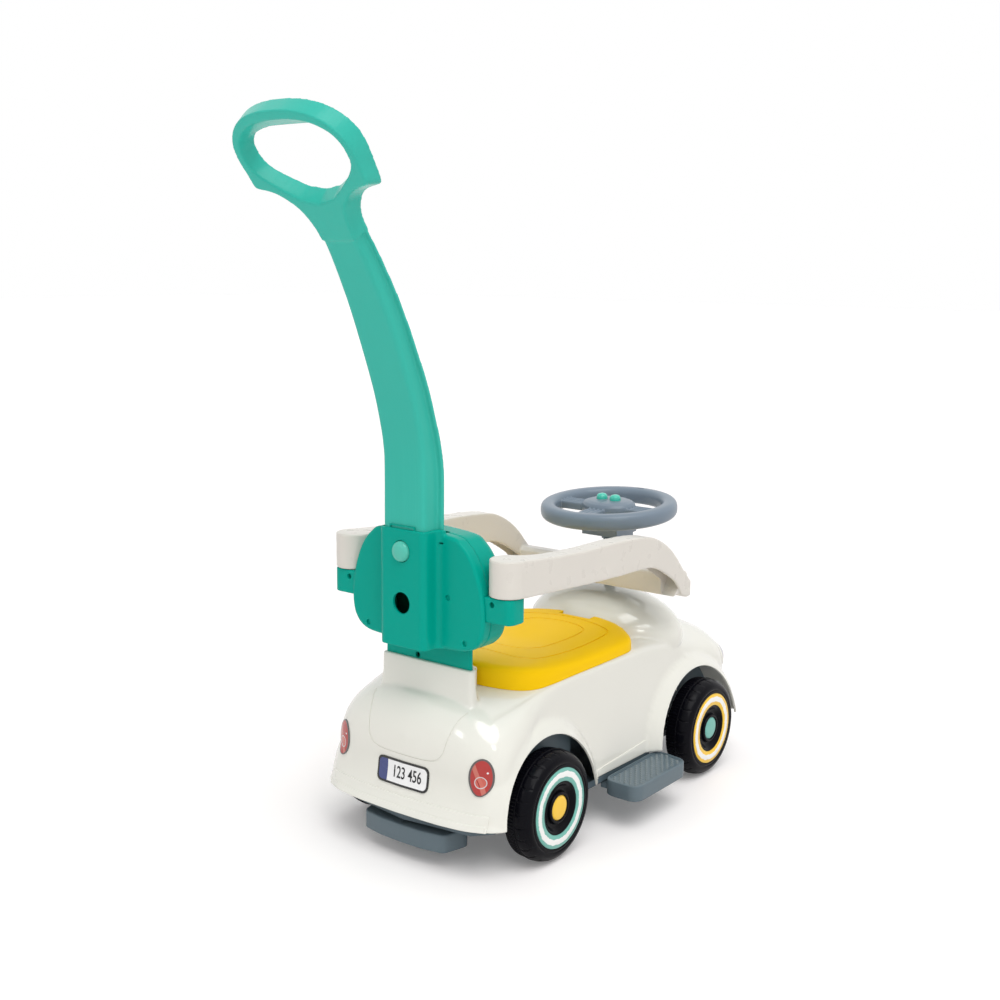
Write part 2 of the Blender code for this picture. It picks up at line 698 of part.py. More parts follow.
hub_profile = [
    (0, -0.010),
    (0.0300, -0.010),
    (0.0300, 0.0050),
    (0.0270, 0.0090),
    (0.0210, 0.0110),
    (0, 0.0115),
]
hub_solid = turned(hub_profile, (0, 0, 0), (0, 0, 1), 32)
for vert in hub_solid.verts:
    vert.co.x *= 1.25
bmesh.ops.transform(hub_solid, matrix=wheel_fit, verts=hub_solid.verts)
join(steer, hub_solid)
cut(steer, rod(on_column(0.300), on_column(0.3342), COLUMN_R + 0.0002, sides=32))
for side, name in ((1, "horn_pad_left"), (-1, "horn_pad_right")):
    centre = steer_centre + steer_turn @ Vector((side * 0.0105, 0, 0))
    pocket = rod(centre + column_axis * 0.0040, centre + column_axis * 0.020, 0.0078, sides=20)
    cut(steer, pocket)
    pad = [(0, 0.0072), (0.0074, 0.0072), (0.0074, 0.0150), (0.0062, 0.0172), (0.0040, 0.0186), (0, 0.0192)]
    part(name, turned(pad, centre, column_axis, 20), LIGHT_TEAL, 0.3, tuple(centre))
boss = box((-0.028, -0.024, -0.0340), (0.028, 0.024, -0.0103))
bmesh.ops.transform(boss, matrix=wheel_fit, verts=boss.verts)
holder = part("battery_box", boss, GREY, 0.4, tuple(steer_centre))
low_boss = box((-0.019, 0.010, -0.0470), (0.019, 0.030, -0.0300))
bmesh.ops.transform(low_boss, matrix=wheel_fit, verts=low_boss.verts)
join(holder, low_boss)
cut(holder, rod(on_column(0.280), on_column(0.360), COLUMN_R + 0.0002, sides=32))

# The backrest: a rear shell with the handle's rib, and a front shell for the child's back.
LOBE_HALF = [
    (0.000, 0.2400),
    (0.050, 0.2405),
    (0.078, 0.2440),
    (0.093, 0.2560),
    (0.0985, 0.2750),
    (0.0975, 0.3000),
    (0.0915, 0.3250),
    (0.0820, 0.3460),
    (0.0690, 0.3610),
    (0.0530, 0.3690),
    (0.000, 0.3730),
]


def lug(side, grow):
    """The ear that carries a guard arm, at the side of the backrest."""
    outer_x = side * 0.1325
    inner_x = side * 0.085
    low_x = min(outer_x, inner_x)
    high_x = max(outer_x, inner_x)
    corners = [(low_x, 0.2000), (high_x, 0.2000), (high_x, 0.2300), (low_x, 0.2300)]
    return prism(inset(rounded(corners, 0.010, 3), -grow), 2, LUG_Z[0] - grow, LUG_Z[1] + grow)


lobe = both_halves(LOBE_HALF)
lobe_in = inset(lobe, WALL)
rib_in = RIB_HALF - 0.0031
back = part("backrest_rear_shell", prism(lobe, 1, SHELL_PLANE, PLATE_REAR), TEAL, 0.35)
rib_corners = [(-RIB_HALF, 0.2215), (RIB_HALF, 0.2215), (RIB_HALF, RIB_REAR), (-RIB_HALF, RIB_REAR)]
rib_plan = rounded(rib_corners, 0.004, 3)
join(back, prism(rib_plan, 2, *RIB_Z))
channel = box((-rib_in, 0.2150, RIB_Z[0] + 0.0026), (rib_in, RIB_REAR - 0.0031, 0.390))
cut(back, channel)
cut(back, prism(lobe_in, 1, 0.2150, PLATE_REAR - WALL))
cut(back, box((-FLANGE_HALF - 0.0005, 0.2150, 0.290), (FLANGE_HALF + 0.0005, PLATE_REAR - WALL, 0.390)))
for side in (1, -1):
    cut(back, lug(side, FIT_GAP))
for z in (BUTTON_Z, LOWER_HOLE_Z):
    cut(back, rod((0, 0.250, z), (0, 0.270, z), BUTTON_R, sides=28))
SCREW_SPOTS = [(0.0726, 0.2520), (-0.0726, 0.2520), (0.0480, 0.3500), (-0.0480, 0.3500)]
for x, z in SCREW_SPOTS:
    join(back, rod((x, SHELL_PLANE + 0.001, z), (x, PLATE_REAR - 0.001, z), 0.0062, sides=20))
    cut(back, rod((x, SHELL_PLANE + 0.0040, z), (x, PLATE_REAR + 0.006, z), 0.0036, sides=20))

front = part("backrest_front_shell", prism(lobe, 1, BACK_FRONT, SHELL_PLANE - FIT_GAP), TEAL, 0.35)
for vert in front.data.vertices:
    if vert.co.y < 0.2:
        vert.co.x *= 0.93
        vert.co.z = 0.305 + (vert.co.z - 0.305) * 0.94
cavity = shape("backrest_hollow", prism(inset(lobe, 0.0085), 1, BACK_FRONT + WALL, 0.240))
cut(front, cavity)
cut(front, box((-FLANGE_HALF - 0.0005, SHELL_PLANE - 0.004, 0.290), (FLANGE_HALF + 0.0005, 0.230, 0.390)))
join(front, prism(plug, 2, 0.1750, 0.2480))
cut(front, prism(pillar_outline(-SOCKET_WALL - 0.0028, 0.002), 2, 0.160, 0.2450))
for x, z in SCREW_SPOTS:
    join(front, rod((x, BACK_FRONT + 0.001, z), (x, SHELL_PLANE - FIT_GAP, z), 0.0062, sides=20))
join(front, lug(1, 0), lug(-1, 0))
for x, z in SCREW_SPOTS:
    name = "backrest_screw_" + ("left" if x > 0 else "right") + ("_low" if z < 0.3 else "_high")
    head = rod((x, SHELL_PLANE + 0.0043, z), (x, SHELL_PLANE + 0.0073, z), 0.0033, sides=16)
    part(name, head, STEEL, 0.3)

# The guard: two arms with rounded rear ends, drawn down at the front to a crossbar.
GUARD_TOP = [
    (0.2330, 0.3522),
    (0.1730, 0.3471),
    (0.0989, 0.3431),
    (0.0192, 0.3421),
    (-0.0382, 0.3380),
    (-0.0676, 0.3299),
    (-0.1001, 0.3106),
    (-0.1320, 0.2790),
    (-0.1479, 0.2639),
    (-0.1479, 0.2446),
]
GUARD_LOW = [
    (-0.1387, 0.2436),
    (-0.1260, 0.2491),
    (-0.1123, 0.2669),
    (-0.0859, 0.2832),
    (-0.0646, 0.2933),
    (-0.0402, 0.2984),
    (0.0227, 0.2999),
    (0.0715, 0.3014),
    (0.1487, 0.3055),
    (0.2330, 0.3098),
]
arm_side = GUARD_TOP + GUARD_LOW
arm_inside = [(y - 0.003 if i == 0 else y, z - 0.003) for i, (y, z) in enumerate(GUARD_TOP[:8])]
arm_inside = arm_inside + [(y, z - 0.020) for y, z in GUARD_LOW[2:]]
guard = part("safety_guard", prism(arm_side, 0, *GUARD_X), CREAM, 0.3)
join(guard, prism(arm_side, 0, -GUARD_X[1], -GUARD_X[0]))
end_x, end_y, end_r = GUARD_END
for side in (1, -1):
    join(guard, rod((side * end_x, end_y, 0.3088), (side * end_x, end_y, 0.3505), end_r, sides=32))
cross = [
    (-0.1120, 0.2480),
    (-0.1100, 0.2770),
    (-0.1150, 0.2810),
    (-0.1420, 0.2775),
    (-0.1462, 0.2735),
    (-0.1462, 0.2520),
]
join(guard, prism(cross, 0, -GUARD_X[1] + 0.004, GUARD_X[1] - 0.004))
cross_in = [(-0.1146, 0.2300), (-0.1126, 0.2755), (-0.1160, 0.2782), (-0.1410, 0.2745), (-0.1436, 0.2300)]
cut(guard, prism(cross_in, 0, -GUARD_X[0] + 0.001, GUARD_X[0] - 0.001))
for side in (1, -1):
    ends = sorted((side * (GUARD_X[0] + 0.0025), side * (GUARD_X[1] - 0.0025)))
    cut(guard, prism(arm_inside, 0, *ends))
    cut(guard, rod((side * end_x, end_y, 0.295), (side * end_x, end_y, 0.3470), end_r - 0.0025, sides=32))

# The push handle: a hollow pole with a front flange, ending in an oval grip loop.
# Each row holds the rear face's line (y, z), the box's half-width and its depth.
POLE_ROWS = [
    (0.2540, POLE_BOTTOM, POLE_HALF, 0.0278),
    (0.2540, 0.3850, POLE_HALF, 0.0278),
    (0.2540, 0.4370, 0.0303, 0.0278),
    (0.2555, 0.4620, 0.0300, 0.0256),
    (0.2610, 0.4900, 0.0297, 0.0236),
    (0.2745, 0.5346, 0.0292, 0.0218),
    (0.3050, 0.6080, 0.0277, 0.0190),
    (0.3300, 0.6560, 0.0256, 0.0172),
    (0.3500, 0.6880, 0.0238, 0.0165),
    (0.3642, 0.7060, 0.0232, 0.0165),
]


def pole_section(half, deep, inner):
    """The pole's section: wide at the flange, narrower in the box behind it."""
    if inner:
        wide = half - 0.0025
        return [(-wide, 0.0025), (wide, 0.0025), (wide, deep - 0.0025), (-wide, deep - 0.0025)]
    flange = half * FLANGE_HALF / POLE_HALF
    step = deep * (POLE_Y[1] - POLE_Y[0]) / (POLE_Y[2] - POLE_Y[0])
    line = [(0, 0), (flange, 0), (flange, step), (half, step + 0.0005)]
    line += [(half, deep - 0.003), (half - 0.003, deep), (0, deep)]
    return both_halves(line)


def pole(inner):
    rows = smooth_path(POLE_ROWS, 2)
    if inner:
        rows = rows[:-2]
    rings = []
    for i, (y, z, half, deep) in enumerate(rows):
        before = rows[max(i - 1, 0)]
        after = rows[min(i + 1, len(rows) - 1)]
        rise = Vector((after[0] - before[0], after[1] - before[1])).normalized()
        start = Vector((y, z))
        if inner and i == 0:
            start -= rise * 0.01
        ring = []
        for x, d in pole_section(half, deep, inner):
            spot = start + Vector((rise.y, -rise.x)) * (d - deep)
            ring.append((x, spot.x, spot.y))
        rings.append(ring)
    return skin(rings)


def loop_skin(rear_half, front_half, rear_depth, front_depth):
    """A solid between the two outlines (x, height) on the loop's tilted planes."""
    rise = Vector((0, sin(LOOP_TILT), cos(LOOP_TILT)))
    ahead = Vector((0, -cos(LOOP_TILT), sin(LOOP_TILT)))
    rings = []
    for half, depth in ((rear_half, rear_depth), (front_half, front_depth)):
        foot = Vector((0, *LOOP_FOOT)) + ahead * depth
        rings.append([foot + rise * h + Vector((x, 0, 0)) for x, h in both_halves(half)])
    return skin(rings)


LOOP_REAR = [
    (0.0, -0.0120),
    (0.0233, -0.0120),
    (0.0240, 0.0040),
    (0.0275, 0.0180),
    (0.0330, 0.0290),
    (0.0425, 0.0385),
    (0.0530, 0.0460),
    (0.0640, 0.0500),
    (0.0755, 0.0528),
    (0.0785, 0.0570),
    (0.0788, 0.0700),
    (0.0795, 0.0880),
    (0.0755, 0.1050),
    (0.0630, 0.1210),
    (0.0440, 0.1322),
    (0.0200, 0.1378),
    (0.0, 0.1385),
]
LOOP_FRONT = [
    (0.0, -0.0120),
    (0.0280, -0.0120),
    (0.0290, 0.0010),
    (0.0325, 0.0125),
    (0.0385, 0.0220),
    (0.0460, 0.0305),
    (0.0550, 0.0358),
    (0.0650, 0.0385),
    (0.0740, 0.0405),
    (0.0785, 0.0450),
    (0.0815, 0.0620),
    (0.0840, 0.0880),
    (0.0800, 0.1070),
    (0.0660, 0.1230),
    (0.0460, 0.1335),
    (0.0210, 0.1388),
    (0.0, 0.1395),
]
HOLE_REAR = [
    (0.0, 0.0312),
    (0.0235, 0.0371),
    (0.0430, 0.0508),
    (0.0610, 0.0650),
    (0.0700, 0.0770),
    (0.0710, 0.0900),
    (0.0690, 0.1000),
    (0.0615, 0.1115),
    (0.0440, 0.1225),
    (0.0200, 0.1282),
    (0.0, 0.1290),
]
HOLE_FRONT = [
    (0.0, 0.0385),
    (0.0215, 0.0420),
    (0.0430, 0.0537),
    (0.0583, 0.0637),
    (0.0665, 0.0750),
    (0.0680, 0.0860),
    (0.0650, 0.0965),
    (0.0545, 0.1055),
    (0.0340, 0.1100),
    (0.0150, 0.1105),
    (0.0, 0.1106),
]
handle = part("push_handle", pole(False), LIGHT_TEAL, 0.35)
cut(handle, pole(True))
join(handle, loop_skin(LOOP_REAR, LOOP_FRONT, 0.0, LOOP_DEPTH))
cut(handle, loop_skin(HOLE_REAR, HOLE_FRONT, -0.0002, LOOP_DEPTH + 0.0002))
cut(handle, rod((0, 0.245, BUTTON_Z), (0, 0.262, BUTTON_Z), BUTTON_R - 0.0008, sides=28))

button_y = POLE_Y[2] - 0.0025
BUTTON_PROFILE = [
    (0, -0.0060),
    (0.0102, -0.0060),
    (0.0102, -0.0003),
    (BUTTON_R - 0.0010, -0.0003),
    (BUTTON_R - 0.0010, 0.0080),
    (0.0062, 0.0104),
    (0.0036, 0.0118),
    (0, 0.0123),
]
button = turned(BUTTON_PROFILE, (0, button_y, BUTTON_Z), (0, 1, 0), 28)
part("lock_button", button, LIGHT_TEAL, 0.3, (0, button_y, BUTTON_Z))

# Lamps and the bare rear plate lie on the body's skin.
for side, name in ((1, "left"), (-1, "right")):
    lamp = ball((side * 0.1044, 0.2420, 0.1070), (0.0135, 0.0300, 0.0210), 24)
    tail_lamp = part(name + "_tail_lamp", lamp, RED, 0.25)
    keep(tail_lamp, skin_raised)
    cut(tail_lamp, skin_out)
    lens = ball((side * 0.092, -0.2960, 0.1230), (0.022, 0.022, 0.022), 18)
    headlight = part(name + "_headlight", lens, STEEL, 0.1)
    cut(headlight, skin_out)
plate_corners = [(-0.0385, 0.0755), (0.0385, 0.0755), (0.0385, 0.1050), (-0.0385, 0.1050)]
plate_outline = rounded(plate_corners, 0.008, 4)
plate = part("number_plate", prism(plate_outline, 1, 0.235, 0.290), (0.85, 0.85, 0.85), 0.3)
keep(plate, skin_raised)
cut(plate, skin_out)
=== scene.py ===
from math import cos, hypot, pi, radians, sin, tan

import bmesh
import bpy
from mathutils import Matrix, Vector
from mathutils.bvhtree import BVHTree


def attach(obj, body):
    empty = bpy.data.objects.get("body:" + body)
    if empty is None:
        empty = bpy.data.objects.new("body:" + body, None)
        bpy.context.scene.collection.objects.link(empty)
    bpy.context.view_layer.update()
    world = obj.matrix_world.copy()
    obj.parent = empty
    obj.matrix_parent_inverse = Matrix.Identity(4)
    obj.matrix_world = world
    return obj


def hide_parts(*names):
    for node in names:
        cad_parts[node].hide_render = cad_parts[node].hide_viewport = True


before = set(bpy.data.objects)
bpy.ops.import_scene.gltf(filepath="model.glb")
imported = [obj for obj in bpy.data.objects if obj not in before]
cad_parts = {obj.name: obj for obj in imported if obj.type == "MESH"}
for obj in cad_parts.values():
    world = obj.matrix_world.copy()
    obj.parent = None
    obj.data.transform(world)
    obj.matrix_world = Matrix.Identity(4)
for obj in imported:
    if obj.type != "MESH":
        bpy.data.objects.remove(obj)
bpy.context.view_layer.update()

# The body shell: one glossy off-white blow moulding with the dash dome, the hood, four
# fenders, the rear deck and the socket that takes the backrest's neck. All sizes are
# measured from a point under the seat, a little above the floor.
MID_Y = 0.0559
BASE_Z = 0.0118
SHELL_WALL = 0.0026
FIT_GAP = 0.0003
NECK_INSET = 0.0036
COLUMN_BORE = 0.0082
BODY_BOTTOM = 0.048
LEDGE_Z = 0.1865
ARCHES = ((0.1460, 0.0436, 0.0890), (-0.1915, 0.0360, 0.0995))
FENDER_X = 0.1368
FENDER_WIDTH = 0.045
FENDER_DROP = 0.055
FENDER_LEAN = 0.12
REAR_TAPER_Y = 0.232
REAR_TAPER = 0.35
FENDER_ROOT = 0.080
FENDER_BLEND = 0.030
FENDER_SOFT = 0.0025
CROWN_STEPS = 24
SIDE_STEPS = 25
DOME_SIZE = (0.115, 0.078, 0.058)
PILLAR_X = 0.0675
PILLAR_Y = (0.1900, 0.2165)
PILLAR_TOP = 0.2145
COLUMN_TILT = radians(4.0)
STEER_Y = -0.160
STEER_Z = 0.342
AXLE_Z = 0.0534
# Each row: the crown's y and z, the shoulder's x, y and z, the base's x and y, and how
# square the section is between crown and shoulder.
BODY_ROWS = [
    (-0.2250, 0.1832, 0.000, -0.3180, 0.104, 0.0000, -0.3300, 2.3),
    (-0.2232, 0.1836, 0.062, -0.3150, 0.104, 0.0750, -0.3275, 2.3),
    (-0.2195, 0.1842, 0.103, -0.3000, 0.106, 0.1150, -0.3150, 2.3),
    (-0.212, 0.1848, 0.116, -0.2680, 0.118, 0.1300, -0.2960, 2.5),
    (-0.185, 0.1856, 0.112, -0.2050, 0.140, 0.1260, -0.2050, 3.0),
    (-0.125, LEDGE_Z, 0.1125, -0.115, 0.166, 0.1215, -0.1150, 6.0),
    (-0.050, LEDGE_Z, 0.1125, -0.048, 0.172, 0.1212, -0.0450, 8.0),
    (0.020, LEDGE_Z, 0.1120, 0.020, 0.172, 0.1210, 0.0200, 8.0),
    (0.090, LEDGE_Z, 0.1115, 0.090, 0.171, 0.1215, 0.0900, 7.0),
    (0.140, LEDGE_Z, 0.1125, 0.142, 0.156, 0.1260, 0.1450, 4.0),
    (0.165, LEDGE_Z, 0.1225, 0.190, 0.125, 0.1335, 0.2000, 2.8),
    (0.178, LEDGE_Z, 0.1235, 0.2270, 0.100, 0.1345, 0.2375, 2.4),
    (0.184, LEDGE_Z, 0.1000, 0.2455, 0.100, 0.1120, 0.2560, 2.3),
    (0.186, LEDGE_Z, 0.0600, 0.2525, 0.103, 0.0690, 0.2670, 2.3),
    (0.187, LEDGE_Z, 0.0000, 0.2550, 0.105, 0.0000, 0.2700, 2.3),
]


def smooth_path(points, per_span):
    """Points of a Catmull-Rom curve through the given ones."""
    out = []
    for i in range(len(points) - 1):
        a = Vector(points[max(i - 1, 0)])
        b = Vector(points[i])
        c = Vector(points[i + 1])
        d = Vector(points[min(i + 2, len(points) - 1)])
        for k in range(per_span):
            t = k / per_span
            swing = a * 2 - b * 5 + c * 4 - d
            turn = b * 3 - a - c * 3 + d
            out.append(b + ((c - a) * t + swing * t * t + turn * t**3) / 2)
    out.append(Vector(points[-1]))
    return out


def both_halves(half):
    mirrored = [(-p[0], p[1]) for p in reversed(half) if abs(p[0]) > 1e-6]
    return [tuple(p) for p in half] + mirrored


def rounded(points, radius, steps=8):
    out = []
    for i, point in enumerate(points):
        corner = Vector(point)
        back = Vector(points[i - 1]) - corner
        ahead = Vector(points[(i + 1) % len(points)]) - corner
        reach = min(radius / tan(back.angle(ahead) / 2), 0.49 * back.length, 0.49 * ahead.length)
        start = corner + back.normalized() * reach
        end = corner + ahead.normalized() * reach
        for k in range(steps + 1):
            t = k / steps
            out.append(start * (1 - t) ** 2 + corner * 2 * t * (1 - t) + end * t * t)
    return out


def inset(points, distance):
    """The outline moved inwards; its points run anticlockwise."""
    out = []
    for i, point in enumerate(points):
        here = Vector(point)
        back = (here - Vector(points[i - 1])).normalized()
        ahead = (Vector(points[(i + 1) % len(points)]) - here).normalized()
        inward = Vector((-back.y, back.x)) + Vector((-ahead.y, ahead.x))
        inward.normalize()
        lean = max(0.5, inward.dot(Vector((-back.y, back.x))))
        out.append(here + inward * distance / lean)
    return out


def skin(rings):
    """A closed solid through rings of points."""
    bm = bmesh.new()
    rows = [[bm.verts.new(p) for p in ring] for ring in rings]
    count = len(rows[0])
    for near, far in zip(rows, rows[1:]):
        for k in range(count):
            bm.faces.new((near[k], near[(k + 1) % count], far[(k + 1) % count], far[k]))
    bm.faces.new(rows[0])
    bm.faces.new(rows[-1])
    return bm


def prism(outline, axis, low, high):
    def at(point, height):
        spot = list(point)
        spot.insert(axis, height)
        return spot

    return skin([[at(p, low) for p in outline], [at(p, high) for p in outline]])


def box(low, high, bm=None):
    bm = bm or bmesh.new()
    low = Vector(low)
    high = Vector(high)
    fit = Matrix.Translation((low + high) / 2) @ Matrix.Diagonal((*(high - low), 1))
    bmesh.ops.create_cube(bm, size=1, matrix=fit)
    return bm


def rod(start, end, radius, sides=64):
    bm = bmesh.new()
    start = Vector(start)
    end = Vector(end)
    along = (end - start).to_track_quat("Z", "Y").to_matrix().to_4x4()
    fit = Matrix.Translation((start + end) / 2) @ along
    reach = (end - start).length
    bmesh.ops.create_cone(
        bm, cap_ends=True, segments=sides, radius1=radius, radius2=radius, depth=reach, matrix=fit
    )
    return bm


def pin(ends, y, z, radius, sides=64):
    """A rod from side to side."""
    return rod((ends[0], y, z), (ends[1], y, z), radius, sides)


def bolt(x, z, near, far, radius, sides=64):
    """A rod from front to rear."""
    return rod((x, near, z), (x, far, z), radius, sides)


def span(side, a, b):
    """The x values, lower first, of two distances from the middle."""
    return sorted((side * a, side * b))


def ball(centre, size, sides=48):
    bm = bmesh.new()
    fit = Matrix.Translation(Vector(centre)) @ Matrix.Diagonal((*size, 1))
    bmesh.ops.create_uvsphere(bm, u_segments=sides, v_segments=sides // 2, radius=1, matrix=fit)
    return bm


def turned(profile, centre, axis, sides=96):
    """A solid of revolution; the profile is a closed loop of (radius, height)."""
    bm = bmesh.new()
    lean = Vector(axis).to_track_quat("Z", "Y").to_matrix()
    rows = []
    for radius, height in profile:
        count = sides if radius > 0 else 1
        angles = [2 * pi * k / sides for k in range(count)]
        spots = [Vector((radius * cos(a), radius * sin(a), height)) for a in angles]
        rows.append([bm.verts.new(Vector(centre) + lean @ spot) for spot in spots])
    for i, near in enumerate(rows):
        far = rows[(i + 1) % len(rows)]
        if len(near) == 1 and len(far) == 1:
            continue
        for k in range(sides):
            after = (k + 1) % sides
            corners = [near[k % len(near)], near[after % len(near)]]
            corners += [far[after % len(far)], far[k % len(far)]]
            bm.faces.new(list(dict.fromkeys(corners)))
    return bm


def placed(bm, fit):
    bmesh.ops.transform(bm, matrix=fit, verts=bm.verts)
    return bm


def heap(*forms):
    """All the forms in one mesh."""
    bm = bmesh.new()
    for form in forms:
        held = bpy.data.meshes.new("held")
        bmesh.ops.recalc_face_normals(form, faces=form.faces)
        form.to_mesh(held)
        form.free()
        bm.from_mesh(held)
        bpy.data.meshes.remove(held)
    return bm


def on_bench(bm, flat=True):
    """A work object of the mesh, for the modifiers."""
    if flat:
        bmesh.ops.recalc_face_normals(bm, faces=bm.faces)
        bmesh.ops.triangulate(bm, faces=bm.faces)
    mesh = bpy.data.meshes.new("work")
    bm.to_mesh(mesh)
    bm.free()
    obj = bpy.data.objects.new("work", mesh)
    bpy.context.scene.collection.objects.link(obj)
    return obj


def off_bench(obj, *tools):
    """The work object's mesh with its modifiers applied; the work objects go."""
    result = obj.evaluated_get(bpy.context.evaluated_depsgraph_get())
    bm = bmesh.new()
    bm.from_mesh(result.to_mesh())
    for used in (obj, *tools):
        bpy.data.objects.remove(used)
    return bm


def carved(bm, *steps):
    """The mesh after Booleans, each a pair of operation and cutter."""
    obj = on_bench(bm)
    tools = []
    for operation, cutter in steps:
        tools.append(on_bench(cutter))
        boolean = obj.modifiers.new("carve", "BOOLEAN")
        boolean.solver = "EXACT"
        boolean.operation = operation
        boolean.object = tools[-1]
    return off_bench(obj, *tools)


def cut(bm, *cutters):
    return carved(bm, *[("DIFFERENCE", cutter) for cutter in cutters])


def joined(bm, *others):
    return carved(bm, *[("UNION", other) for other in others])


def shared(bm, other, without):
    """What two forms share, less the third."""
    return carved(bm, ("INTERSECT", other), ("DIFFERENCE", without))


def melted(bm, voxel, passes):
    """The mesh as one even skin whose edges have run round, as in a mould."""
    obj = on_bench(bm, False)
    remesh = obj.modifiers.new("skin", "REMESH")
    remesh.mode = "VOXEL"
    remesh.voxel_size = voxel
    soften = obj.modifiers.new("soften", "SMOOTH")
    soften.factor = 0.5
    soften.iterations = passes
    return off_bench(obj)


def eased(bm, width, segments=2, angle=35):
    """The mesh with its edges rounded off."""
    bmesh.ops.recalc_face_normals(bm, faces=bm.faces)
    obj = on_bench(bm, False)
    bevel = obj.modifiers.new("ease", "BEVEL")
    bevel.width = width
    bevel.segments = segments
    bevel.limit_method = "ANGLE"
    bevel.angle_limit = radians(angle)
    bevel.use_clamp_overlap = True
    return off_bench(obj)


def opened(bm, *cutters):
    """The skin with the cutters' bites taken out and left open."""
    plain = bpy.data.materials.new("skin")
    bitten = bpy.data.materials.new("bite")
    obj = on_bench(bm)
    obj.data.materials.append(plain)
    tools = []
    for cutter in cutters:
        tools.append(on_bench(cutter))
        tools[-1].data.materials.append(bitten)
        boolean = obj.modifiers.new("bite", "BOOLEAN")
        boolean.solver = "EXACT"
        boolean.material_mode = "TRANSFER"
        boolean.object = tools[-1]
    bm = off_bench(obj, *tools)
    bites = [f for f in bm.faces if f.material_index > 0]
    bmesh.ops.delete(bm, geom=bites, context="FACES")
    return bm


def thickened(bm, wall):
    obj = on_bench(bm)
    solidify = obj.modifiers.new("wall", "SOLIDIFY")
    solidify.thickness = wall
    solidify.offset = -1
    return off_bench(obj)


def group_socket(tree, name, kind, way="INPUT", value=None):
    socket = tree.interface.new_socket(name=name, in_out=way, socket_type=kind)
    if value is not None:
        socket.default_value = value


def wired(tree, kind, settings=(), **inputs):
    """A shader node; inputs are numbers or other nodes' outputs."""
    made = tree.nodes.new(kind)
    for key, value in dict(settings).items():
        setattr(made, key, value)
    for key, value in inputs.items():
        slot = made.inputs[int(key[1:])] if key[0] == "i" and key[1:].isdigit() else made.inputs[key]
        if isinstance(value, bpy.types.NodeSocket):
            tree.links.new(value, slot)
        else:
            slot.default_value = value
    return made


def calc(tree, operation, *values, clamp=False):
    settings = {"operation": operation, "use_clamp": clamp}
    inputs = {f"i{k}": value for k, value in enumerate(values)}
    return wired(tree, "ShaderNodeMath", settings, **inputs).outputs[0]


def length(tree, a, b):
    """How long the vector (a, b) is."""
    squares = [calc(tree, "MULTIPLY", value, value) for value in (a, b)]
    return calc(tree, "SQRT", calc(tree, "ADD", *squares))


def own_place(tree):
    """The place in the object's own axes."""
    return tree.nodes.new("ShaderNodeTexCoord").outputs["Object"]


def noise(tree, where, scale, detail=2.0):
    made = wired(tree, "ShaderNodeTexNoise", Vector=where, Scale=scale, Detail=detail)
    return made.outputs[0]


def blended(tree, amount, low, high):
    """The colour low where amount is 0 and high where it is 1."""
    mix = wired(tree, "ShaderNodeMix", {"data_type": "RGBA"})
    for slot, value in ((0, amount), (6, low), (7, high)):
        if isinstance(value, bpy.types.NodeSocket):
            tree.links.new(value, mix.inputs[slot])
        else:
            mix.inputs[slot].default_value = value
    return mix.outputs[2]


def moulded_surface():
    """Moulded plastic: flow mottle, uneven polish and the mould's fine grain."""
    tree = bpy.data.node_groups.new("moulded_surface", "ShaderNodeTree")
    group_socket(tree, "Colour", "NodeSocketColor")
    group_socket(tree, "Mottle", "NodeSocketFloat", value=0.04)
    group_socket(tree, "Polish", "NodeSocketFloat", value=0.3)
    group_socket(tree, "Grain", "NodeSocketFloat", value=0.1)
    group_socket(tree, "Colour", "NodeSocketColor", "OUTPUT")
    group_socket(tree, "Roughness", "NodeSocketFloat", "OUTPUT")
    group_socket(tree, "Height", "NodeSocketFloat", "OUTPUT")
    given = tree.nodes.new("NodeGroupInput").outputs
    where = own_place(tree)
    swing = calc(tree, "SUBTRACT", noise(tree, where, 14.0, 3.0), 0.5)
    shade = calc(tree, "ADD", calc(tree, "MULTIPLY", swing, given["Mottle"]), 1.0)
    tint = wired(tree, "ShaderNodeHueSaturation", Color=given["Colour"], Value=shade).outputs[0]
    haze = calc(tree, "SUBTRACT", noise(tree, where, 60.0, 4.0), 0.5)
    polish = calc(tree, "MULTIPLY", haze, 0.05)
    rough = calc(tree, "ADD", given["Polish"], polish, clamp=True)
    grain = calc(tree, "MULTIPLY", noise(tree, where, 1500.0), given["Grain"])
    peel = calc(tree, "MULTIPLY", noise(tree, where, 90.0, 1.0), 0.10)
    height = calc(tree, "ADD", grain, peel)
    wired(tree, "NodeGroupOutput", i0=tint, i1=rough, i2=height)
    return tree


MOULDED = moulded_surface()


def new_material(name):
    material = bpy.data.materials.new(name)
    material.use_nodes = True
    tree = material.node_tree
    return material, tree, tree.nodes["Principled BSDF"]


def plastic(name, colour, polish=0.3, grain=0.1, mottle=0.04, coat=0.0, paint=None, gloss=0.3):
    """Moulded plastic; paint takes the tree and the colour and gives the colour to show."""
    material, tree, shader = new_material(name)
    surface = wired(tree, "ShaderNodeGroup", {"node_tree": MOULDED})
    surface.inputs["Colour"].default_value = (*colour, 1.0)
    surface.inputs["Mottle"].default_value = mottle
    surface.inputs["Polish"].default_value = polish
    surface.inputs["Grain"].default_value = grain
    shown = surface.outputs["Colour"]
    if paint:
        shown = paint(tree, shown)
    bump = wired(tree, "ShaderNodeBump", Height=surface.outputs["Height"])
    bump.inputs["Strength"].default_value = 0.35
    bump.inputs["Distance"].default_value = 0.0002
    tree.links.new(shown, shader.inputs["Base Color"])
    tree.links.new(surface.outputs["Roughness"], shader.inputs["Roughness"])
    tree.links.new(bump.outputs[0], shader.inputs["Normal"])
    shader.inputs["Specular IOR Level"].default_value = gloss
    shader.inputs["Coat Weight"].default_value = coat
    shader.inputs["Coat Roughness"].default_value = 0.05
    return material


